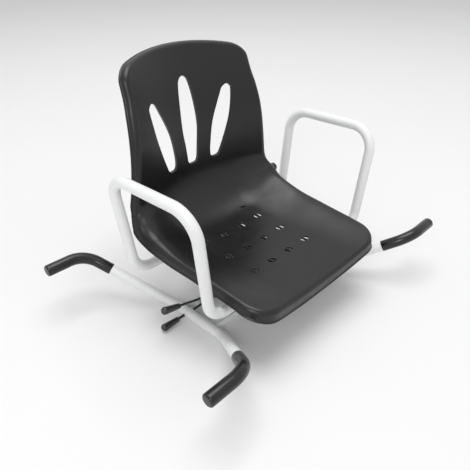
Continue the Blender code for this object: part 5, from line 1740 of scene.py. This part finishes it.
class BATHSEAT_OT_seat_lock(bpy.types.Operator):
    """Build the lock's bracket, pivot, guide, pin and lever"""

    bl_idname = "bathseat.seat_lock"
    bl_label = "Seat lock"

    def execute(self, context):
        mechanism = context.scene.bath_seat_mechanism
        self.hang_guide_and_bracket(mechanism.edge_break)
        self.fit_pivot(mechanism.edge_break)
        self.fit_lever(mechanism)
        self.fit_pin(mechanism.edge_break)
        return {"FINISHED"}

    def hang_guide_and_bracket(self, edge):
        under = CARRIER_LOW.z - GAP
        profile = ring_profile(GUIDE_BORE, GUIDE_RADIUS, under - GUIDE_LENGTH, under)
        place = Matrix.Translation((PIN_X, PIN_Y, 0.0))
        guide = turned("lock_pin_guide", profile, MIDDLE_SIDES, edge, place)
        dress(guide, "zinc_steel", "seat", "index_pin_guide")

        corners = [
            (-EAR_OUTER_Y, BRACKET_LOW_Z),
            (-EAR_INNER_Y, BRACKET_LOW_Z),
            (-EAR_INNER_Y, under - BRACKET_WALL),
            (EAR_INNER_Y, under - BRACKET_WALL),
            (EAR_INNER_Y, BRACKET_LOW_Z),
            (EAR_OUTER_Y, BRACKET_LOW_Z),
            (EAR_OUTER_Y, under),
            (-EAR_OUTER_Y, under),
        ]
        radii = [0.0, 0.0, BRACKET_INNER_BEND, BRACKET_INNER_BEND]
        radii += [0.0, 0.0, BRACKET_OUTER_BEND, BRACKET_OUTER_BEND]
        outlines = [rounded(corners, radii)]
        stand = upright(PIVOT_X, PIN_Y, 0)
        bracket = flat_plate("lock_bracket", outlines, stand, 2 * BRACKET_HALF_X)
        low = (PIVOT_X, PIN_Y - 2 * CUT_REACH, PIVOT_Z)
        high = (PIVOT_X, PIN_Y + 2 * CUT_REACH, PIVOT_Z)
        carve(bracket, rod_tool(low, high, PIVOT_RADIUS + GAP, SMALL_SIDES))
        break_edges(bracket, edge)
        dress(bracket, "zinc_steel", "seat", "lever_bracket")

    def fit_pivot(self, edge):
        head = EAR_OUTER_Y + GAP
        tail = EAR_OUTER_Y + 2 * GAP + 2 * CLIP_THICKNESS
        across = aim((PIVOT_X, PIN_Y, PIVOT_Z), (0.0, -1.0, 0.0))
        profile = [
            (0.0, head + PIVOT_HEAD),
            (PIVOT_HEAD_RADIUS, head + PIVOT_HEAD),
            (PIVOT_HEAD_RADIUS, head),
            (PIVOT_RADIUS, head),
            (PIVOT_RADIUS, -tail),
            (0.0, -tail),
        ]
        pivot = turned("lock_pivot", profile, SMALL_SIDES, edge, across)
        dress(pivot, "zinc_steel", "seat", "lever_pivot_pin")
        start = -EAR_OUTER_Y - GAP
        profile = ring_profile(PIVOT_RADIUS + GAP, PIVOT_HEAD_RADIUS, start - CLIP_THICKNESS, start)
        clip = turned("lock_pivot_ring", profile, SMALL_SIDES, CLIP_ROUNDING, across)
        dress(clip, "spring_steel", "seat", "lever_pivot_clip")

    def fit_lever(self, mechanism):
        rise = Vector((LEVER_TIP_X - LEVER_ELBOW_X, 0.0, LEVER_TIP_Z - PIVOT_Z)).normalized()
        grip_start = Vector((LEVER_TIP_X, PIN_Y, LEVER_TIP_Z)) - rise * mechanism.grip_length
        corners = [
            (PIVOT_X - LEVER_EYE_RADIUS + LEVER_IN_EYE, PIN_Y, PIVOT_Z),
            (LEVER_ELBOW_X, PIN_Y, PIVOT_Z),
            grip_start + rise * (GRIP_SOCKET - LEVER_SHORT_OF_SOCKET),
        ]
        cut = rounded_end(mechanism.lever_radius, LEVER_END_ROUNDING, WIRE_END_STEPS)
        path = bent_path(corners, [LEVER_BEND])
        lever = swept_bar("lock_lever_arm", path, mechanism.lever_radius, cut, cut, LEVER_SIDES)
        dress(lever, "zinc_steel", "lock_lever", "lock_lever_rod", finish="dark_rod")
        half = LEVER_EYE_WIDTH / 2
        place = aim((PIVOT_X, PIN_Y, PIVOT_Z), (0.0, 1.0, 0.0))
        profile = ring_profile(PIVOT_RADIUS + GAP, LEVER_EYE_RADIUS, -half, half)
        eye = turned("lock_lever_eye", profile, SMALL_SIDES, mechanism.edge_break, place)
        dress(eye, "zinc_steel", "lock_lever")
        grip = tapered_grip("lock_lever_knob", grip_start, rise, mechanism.lever_radius, mechanism)
        dress(grip, "black_grip", "lock_lever", "lock_lever_grip")

    def fit_pin(self, edge):
        profile = [
            (0.0, PIN_LENGTH),
            (PIN_RADIUS, PIN_LENGTH),
            (PIN_RADIUS, PIN_TIP),
            (PIN_RADIUS - PIN_TIP, 0.0),
            (0.0, 0.0),
        ]
        place = Matrix.Translation((PIN_X, PIN_Y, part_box("index_pin")[0].z))
        pin = turned("lock_pin", profile, MIDDLE_SIDES, edge, place)
        middle = Vector((PIN_X, PIN_Y, PIVOT_Z))
        reach = Vector((CUT_REACH, PIN_SLOT_WIDTH / 2, PIN_SLOT_HEIGHT / 2))
        carve(pin, block_tool(middle - reach, middle + reach))
        dress(pin, "zinc_steel", "index_pin", "index_pin")


def tapered_grip(name, start, direction, bore, mechanism):
    """A grip that swells from its neck to a round end, with a shallow ring at the shoulder."""
    length = mechanism.grip_length
    radius = mechanism.grip_radius
    neck = mechanism.grip_neck
    ball = radius - GRIP_NOSE_FLAT
    profile = []
    for step in range(GRIP_NOSE_STEPS + 1):
        angle = math.pi / 2 * step / GRIP_NOSE_STEPS
        profile.append((radius * math.sin(angle), length - ball * (1 - math.cos(angle))))
    shoulder = length - ball
    swell = (radius - neck) * GRIP_FULLNESS
    profile.append((neck + swell + GRIP_RING, shoulder - GRIP_RING_HIGH))
    profile.append((neck + swell - GRIP_RING, shoulder - GRIP_RING_LOW))
    for share in GRIP_TAPER_SHARES:
        profile.append((neck + swell * share**GRIP_TAPER, shoulder * share))
    profile += [
        (neck, GRIP_NECK_EDGE),
        (neck - GRIP_NECK_BREAK, GRIP_NECK_BREAK),
        (neck - GRIP_NECK_EDGE, 0.0),
        (bore + GAP, 0.0),
        (bore + GAP, GRIP_SOCKET + GAP),
        (0.0, GRIP_SOCKET + GAP),
    ]
    return turned(name, profile, MIDDLE_SIDES, matrix=aim(start, direction))


class BATHSEAT_OT_pull_rod(bpy.types.Operator):
    """Build the pull rod with its fork, spring, guide, bush and grip"""

    bl_idname = "bathseat.pull_rod"
    bl_label = "Pull rod"

    def execute(self, context):
        mechanism = context.scene.bath_seat_mechanism
        self.fit_bush(mechanism.rod_radius, context.scene.bath_seat_tubing.tube_radius)
        self.stand_tab(mechanism.rod_radius, mechanism.edge_break)
        collar_face = FORK_TONGUE_X - COLLAR_TO_TONGUE - ROD_COLLAR_LENGTH
        self.fit_rod(mechanism, collar_face)
        self.cut_fork(mechanism.edge_break)
        self.wind_spring(GUIDE_TAB_X + GAP + SPRING_WIRE, collar_face - GAP - SPRING_WIRE)
        return {"FINISHED"}

    def fit_bush(self, radius, tube_radius):
        half = tube_radius + ROD_BUSH_PROUD
        profile = ring_profile(radius + GAP, ROD_BUSH_RADIUS, -half, half)
        place = aim((-CRADLE_X, ROD_Y, CRADLE_Z), (1.0, 0.0, 0.0))
        bush = turned("pull_rod_bush", profile, SMALL_SIDES, ROD_BUSH_ROUNDING, place)
        dress(bush, "nylon", "base", "rod_bush")

    def stand_tab(self, radius, edge):
        floor = TRAY_BOTTOM_Z + TRAY_WALL + GAP
        corners = [
            (-GUIDE_TAB_HALF_Y, 0.0),
            (GUIDE_TAB_HALF_Y, 0.0),
            (GUIDE_TAB_HALF_Y, GUIDE_TAB_HEIGHT),
            (-GUIDE_TAB_HALF_Y, GUIDE_TAB_HEIGHT),
        ]
        outline = rounded(corners, [0.0, 0.0, GUIDE_TAB_CORNER, GUIDE_TAB_CORNER])
        hole = circle(radius + GAP, SMALL_SIDES, (0.0, CRADLE_Z - floor))
        stand = upright(GUIDE_TAB_X - GUIDE_TAB_WALL / 2, ROD_Y, floor)
        tab = flat_plate("pull_rod_tab", [outline, hole], stand, GUIDE_TAB_WALL)
        break_edges(tab, edge)
        dress(tab, "zinc_steel", "base", "rod_guide_bracket")

    def fit_rod(self, mechanism, face):
        radius = mechanism.rod_radius
        inner_end = FORK_TONGUE_X + ROD_PAST_TONGUE
        outer_end = ROD_GRIP_START_X - GRIP_SOCKET
        profile = [
            (0.0, inner_end),
            (radius, inner_end),
            (radius, face + ROD_COLLAR_LENGTH),
            (ROD_COLLAR_RADIUS, face + ROD_COLLAR_LENGTH),
            (ROD_COLLAR_RADIUS, face),
            (radius, face),
            (radius, outer_end),
            (0.0, outer_end),
        ]
        along = aim((0.0, ROD_Y, CRADLE_Z), (1.0, 0.0, 0.0))
        rod = turned("pull_rod_bar", profile, SMALL_SIDES, mechanism.edge_break, along)
        gap = FORK_THICKNESS / 2 + GAP
        slot_low = (FORK_TONGUE_X - GAP, ROD_Y - CUT_REACH, CRADLE_Z - gap)
        slot_high = (inner_end + CUT_REACH, ROD_Y + CUT_REACH, CRADLE_Z + gap)
        carve(rod, block_tool(slot_low, slot_high))
        dress(rod, "zinc_steel", "retainer", "retainer_rod", finish="dark_rod")
        start = Vector((ROD_GRIP_START_X, ROD_Y, CRADLE_Z))
        grip = tapered_grip("pull_rod_knob", start, (-1.0, 0.0, 0.0), radius, mechanism)
        dress(grip, "black_grip", "retainer", "retainer_grip")

    def cut_fork(self, edge):
        tongue_low = ROD_Y - FORK_TONGUE_HALF_Y
        tongue_high = ROD_Y + FORK_TONGUE_HALF_Y
        outline = [
            (FORK_TIP_X, FORK_SLOT),
            (FORK_TIP_X, FORK_HALF_Y),
            (FORK_TAIL_X + FORK_SLANT, FORK_HALF_Y),
            (FORK_TAIL_X, tongue_high),
            (FORK_TONGUE_X, tongue_high),
            (FORK_TONGUE_X, tongue_low),
            (FORK_TAIL_X - FORK_SLANT, tongue_low),
            (FORK_TAIL_X, tongue_low - FORK_GUSSET),
            (FORK_TAIL_X, -FORK_HALF_Y),
            (FORK_TIP_X, -FORK_HALF_Y),
            (FORK_TIP_X, -FORK_SLOT),
        ]
        for step in range(FORK_SLOT_STEPS + 1):
            angle = math.radians(270 - 180 * step / FORK_SLOT_STEPS)
            outline.append((FORK_SLOT * math.cos(angle), FORK_SLOT * math.sin(angle)))
        place = Matrix.Translation((0, 0, CRADLE_Z))
        fork = flat_plate("pull_rod_fork", [outline], place, FORK_THICKNESS)
        break_edges(fork, edge)
        dress(fork, "zinc_steel", "retainer", "retainer_fork")

    def wind_spring(self, start_x, end_x):
        length = end_x - start_x
        count = SPRING_TURNS * SPRING_TURN_STEPS
        path = []
        for step in range(count + 1):
            angle = math.tau * step / SPRING_TURN_STEPS
            x = start_x + length * (step / count)
            y = ROD_Y + SPRING_RADIUS * math.cos(angle)
            path.append(Vector((x, y, CRADLE_Z + SPRING_RADIUS * math.sin(angle))))
        cut = rounded_end(SPRING_WIRE, SPRING_END_ROUNDING, WIRE_END_STEPS)
        coil = swept_bar("pull_rod_spring", path, SPRING_WIRE, cut, cut, WIRE_SIDES)
        dress(coil, "spring_steel", "base", "retainer_spring")
        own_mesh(coil)


class BATHSEAT_OT_stage(bpy.types.Operator):
    """Set the pale floor, the soft lamps and the camera"""

    bl_idname = "bathseat.stage"
    bl_label = "Stage"

    def execute(self, context):
        scene = context.scene
        settings = scene.bath_seat_stage
        shape = bmesh.new()
        bmesh.ops.create_grid(shape, x_segments=FLOOR_CELLS, y_segments=FLOOR_CELLS, size=FLOOR_REACH)
        for vert in shape.verts:
            far = max(0.0, (vert.co.length - FLOOR_FLAT_SHARE * FLOOR_REACH) / FLOOR_REACH)
            vert.co.z = TRAY_BOTTOM_Z + FLOOR_RISE * far * far
        floor = mesh_object("pale_floor", shape)
        floor.data.materials.append(floor_finish(settings.floor))

        self.air(scene, settings)
        scene.view_settings.view_transform = "Standard"
        self.lamp("key_lamp", KEY_PLACE, KEY_WIDTH, settings.key)
        self.lamp("fill_lamp", FILL_PLACE, FILL_WIDTH, settings.fill)
        self.camera(scene)
        return {"FINISHED"}

    def air(self, scene, settings):
        """Soft light, stronger from above than level; what is seen and mirrored is pale."""
        world = bpy.data.worlds.new("studio_air")
        world.use_nodes = True
        tree = world.node_tree
        tree.nodes.clear()
        heading = add_node(tree, "ShaderNodeTexCoord").outputs["Generated"]
        split = add_node(tree, "ShaderNodeSeparateXYZ")
        tree.links.new(heading, split.inputs["Vector"])
        height = split.outputs["Z"]
        strength = spread(tree, height, 0.0, AIR_TOP, settings.air_level, settings.air_above)
        rays = add_node(tree, "ShaderNodeLightPath")
        seen = rays.outputs["Is Camera Ray"]
        for kind in ("Is Glossy Ray", "Is Transmission Ray"):
            either = add_node(tree, "ShaderNodeMath", operation="MAXIMUM")
            tree.links.new(seen, either.inputs[0])
            tree.links.new(rays.outputs[kind], either.inputs[1])
            seen = either.outputs["Value"]
        choice = add_node(tree, "ShaderNodeMix", data_type="FLOAT")
        tree.links.new(seen, choice.inputs["Factor"])
        tree.links.new(strength, choice.inputs["A"])
        choice.inputs["B"].default_value = settings.surround
        light = add_node(tree, "ShaderNodeBackground", {"Color": (1.0, 1.0, 1.0, 1.0)})
        tree.links.new(choice.outputs["Result"], light.inputs["Strength"])
        output = add_node(tree, "ShaderNodeOutputWorld")
        tree.links.new(light.outputs["Background"], output.inputs["Surface"])
        scene.world = world

    def lamp(self, name, place, width, power):
        light = bpy.data.lights.new(name, "AREA")
        light.shape = "DISK"
        light.size = width
        light.energy = power
        lamp = linked(name, light)
        lamp.location = place
        towards = Vector(LAMP_TARGET) - Vector(place)
        lamp.rotation_euler = towards.to_track_quat("-Z", "Y").to_euler()

    def camera(self, scene):
        azimuth = math.radians(CAMERA_AZIMUTH)
        elevation = math.radians(CAMERA_ELEVATION)
        flat = math.cos(elevation)
        back = Vector((math.sin(azimuth) * flat, -math.cos(azimuth) * flat, math.sin(elevation)))
        turn = (-back).to_track_quat("-Z", "Y").to_matrix().to_4x4()
        roll = Matrix.Rotation(-math.radians(CAMERA_ROLL), 4, "Z")
        data = bpy.data.cameras.new("photo_camera")
        data.sensor_fit = "HORIZONTAL"
        data.sensor_width = CAMERA_SENSOR
        data.lens = CAMERA_FOCAL_SHARE * data.sensor_width
        data.clip_start = CAMERA_NEAR
        data.clip_end = CAMERA_FAR
        camera = linked("photo_camera", data)
        camera.matrix_world = Matrix.Translation(CAMERA_PLACE) @ turn @ roll
        scene.camera = camera


OPERATORS = (
    BATHSEAT_OT_shell,
    BATHSEAT_OT_armrests,
    BATHSEAT_OT_side_tubes,
    BATHSEAT_OT_rim_sleeves,
    BATHSEAT_OT_tray,
    BATHSEAT_OT_hub,
    BATHSEAT_OT_carrier,
    BATHSEAT_OT_fasteners,
    BATHSEAT_OT_seat_lock,
    BATHSEAT_OT_pull_rod,
    BATHSEAT_OT_stage,
)
SETTING_GROUPS = (
    ("bath_seat_shell", ShellSettings, "Seat shell"),
    ("bath_seat_tubing", TubingSettings, "Tubes and sleeves"),
    ("bath_seat_mechanism", MechanismSettings, "Mechanism and grips"),
    ("bath_seat_colours", ColourSettings, "Colours"),
    ("bath_seat_stage", StageSettings, "Stage"),
)


class BATHSEAT_PT_panel(bpy.types.Panel):
    """Settings and steps of the bath seat"""

    bl_idname = "BATHSEAT_PT_panel"
    bl_label = "Swivel bath seat"
    bl_space_type = "VIEW_3D"
    bl_region_type = "UI"
    bl_category = "Bath Seat"

    def draw(self, context):
        layout = self.layout
        for attribute, group, title in SETTING_GROUPS:
            box = layout.box()
            box.label(text=title)
            settings = getattr(context.scene, attribute)
            for key in group.__annotations__:
                box.prop(settings, key)
        for operator in OPERATORS:
            layout.operator(operator.bl_idname)


def register():
    for attribute, group, _ in SETTING_GROUPS:
        bpy.utils.register_class(group)
        setattr(bpy.types.Scene, attribute, PointerProperty(type=group))
    for operator in OPERATORS:
        bpy.utils.register_class(operator)
    bpy.utils.register_class(BATHSEAT_PT_panel)


def unregister():
    bpy.utils.unregister_class(BATHSEAT_PT_panel)
    for operator in reversed(OPERATORS):
        bpy.utils.unregister_class(operator)
    for attribute, group, _ in reversed(SETTING_GROUPS):
        delattr(bpy.types.Scene, attribute)
        bpy.utils.unregister_class(group)


def main():
    register()
    bpy.ops.bathseat.shell()
    bpy.ops.bathseat.armrests()
    bpy.ops.bathseat.side_tubes()
    bpy.ops.bathseat.rim_sleeves()
    bpy.ops.bathseat.tray()
    bpy.ops.bathseat.hub()
    bpy.ops.bathseat.carrier()
    bpy.ops.bathseat.fasteners()
    bpy.ops.bathseat.seat_lock()
    bpy.ops.bathseat.pull_rod()
    bpy.ops.bathseat.stage()


if __name__ == "__main__":
    main()
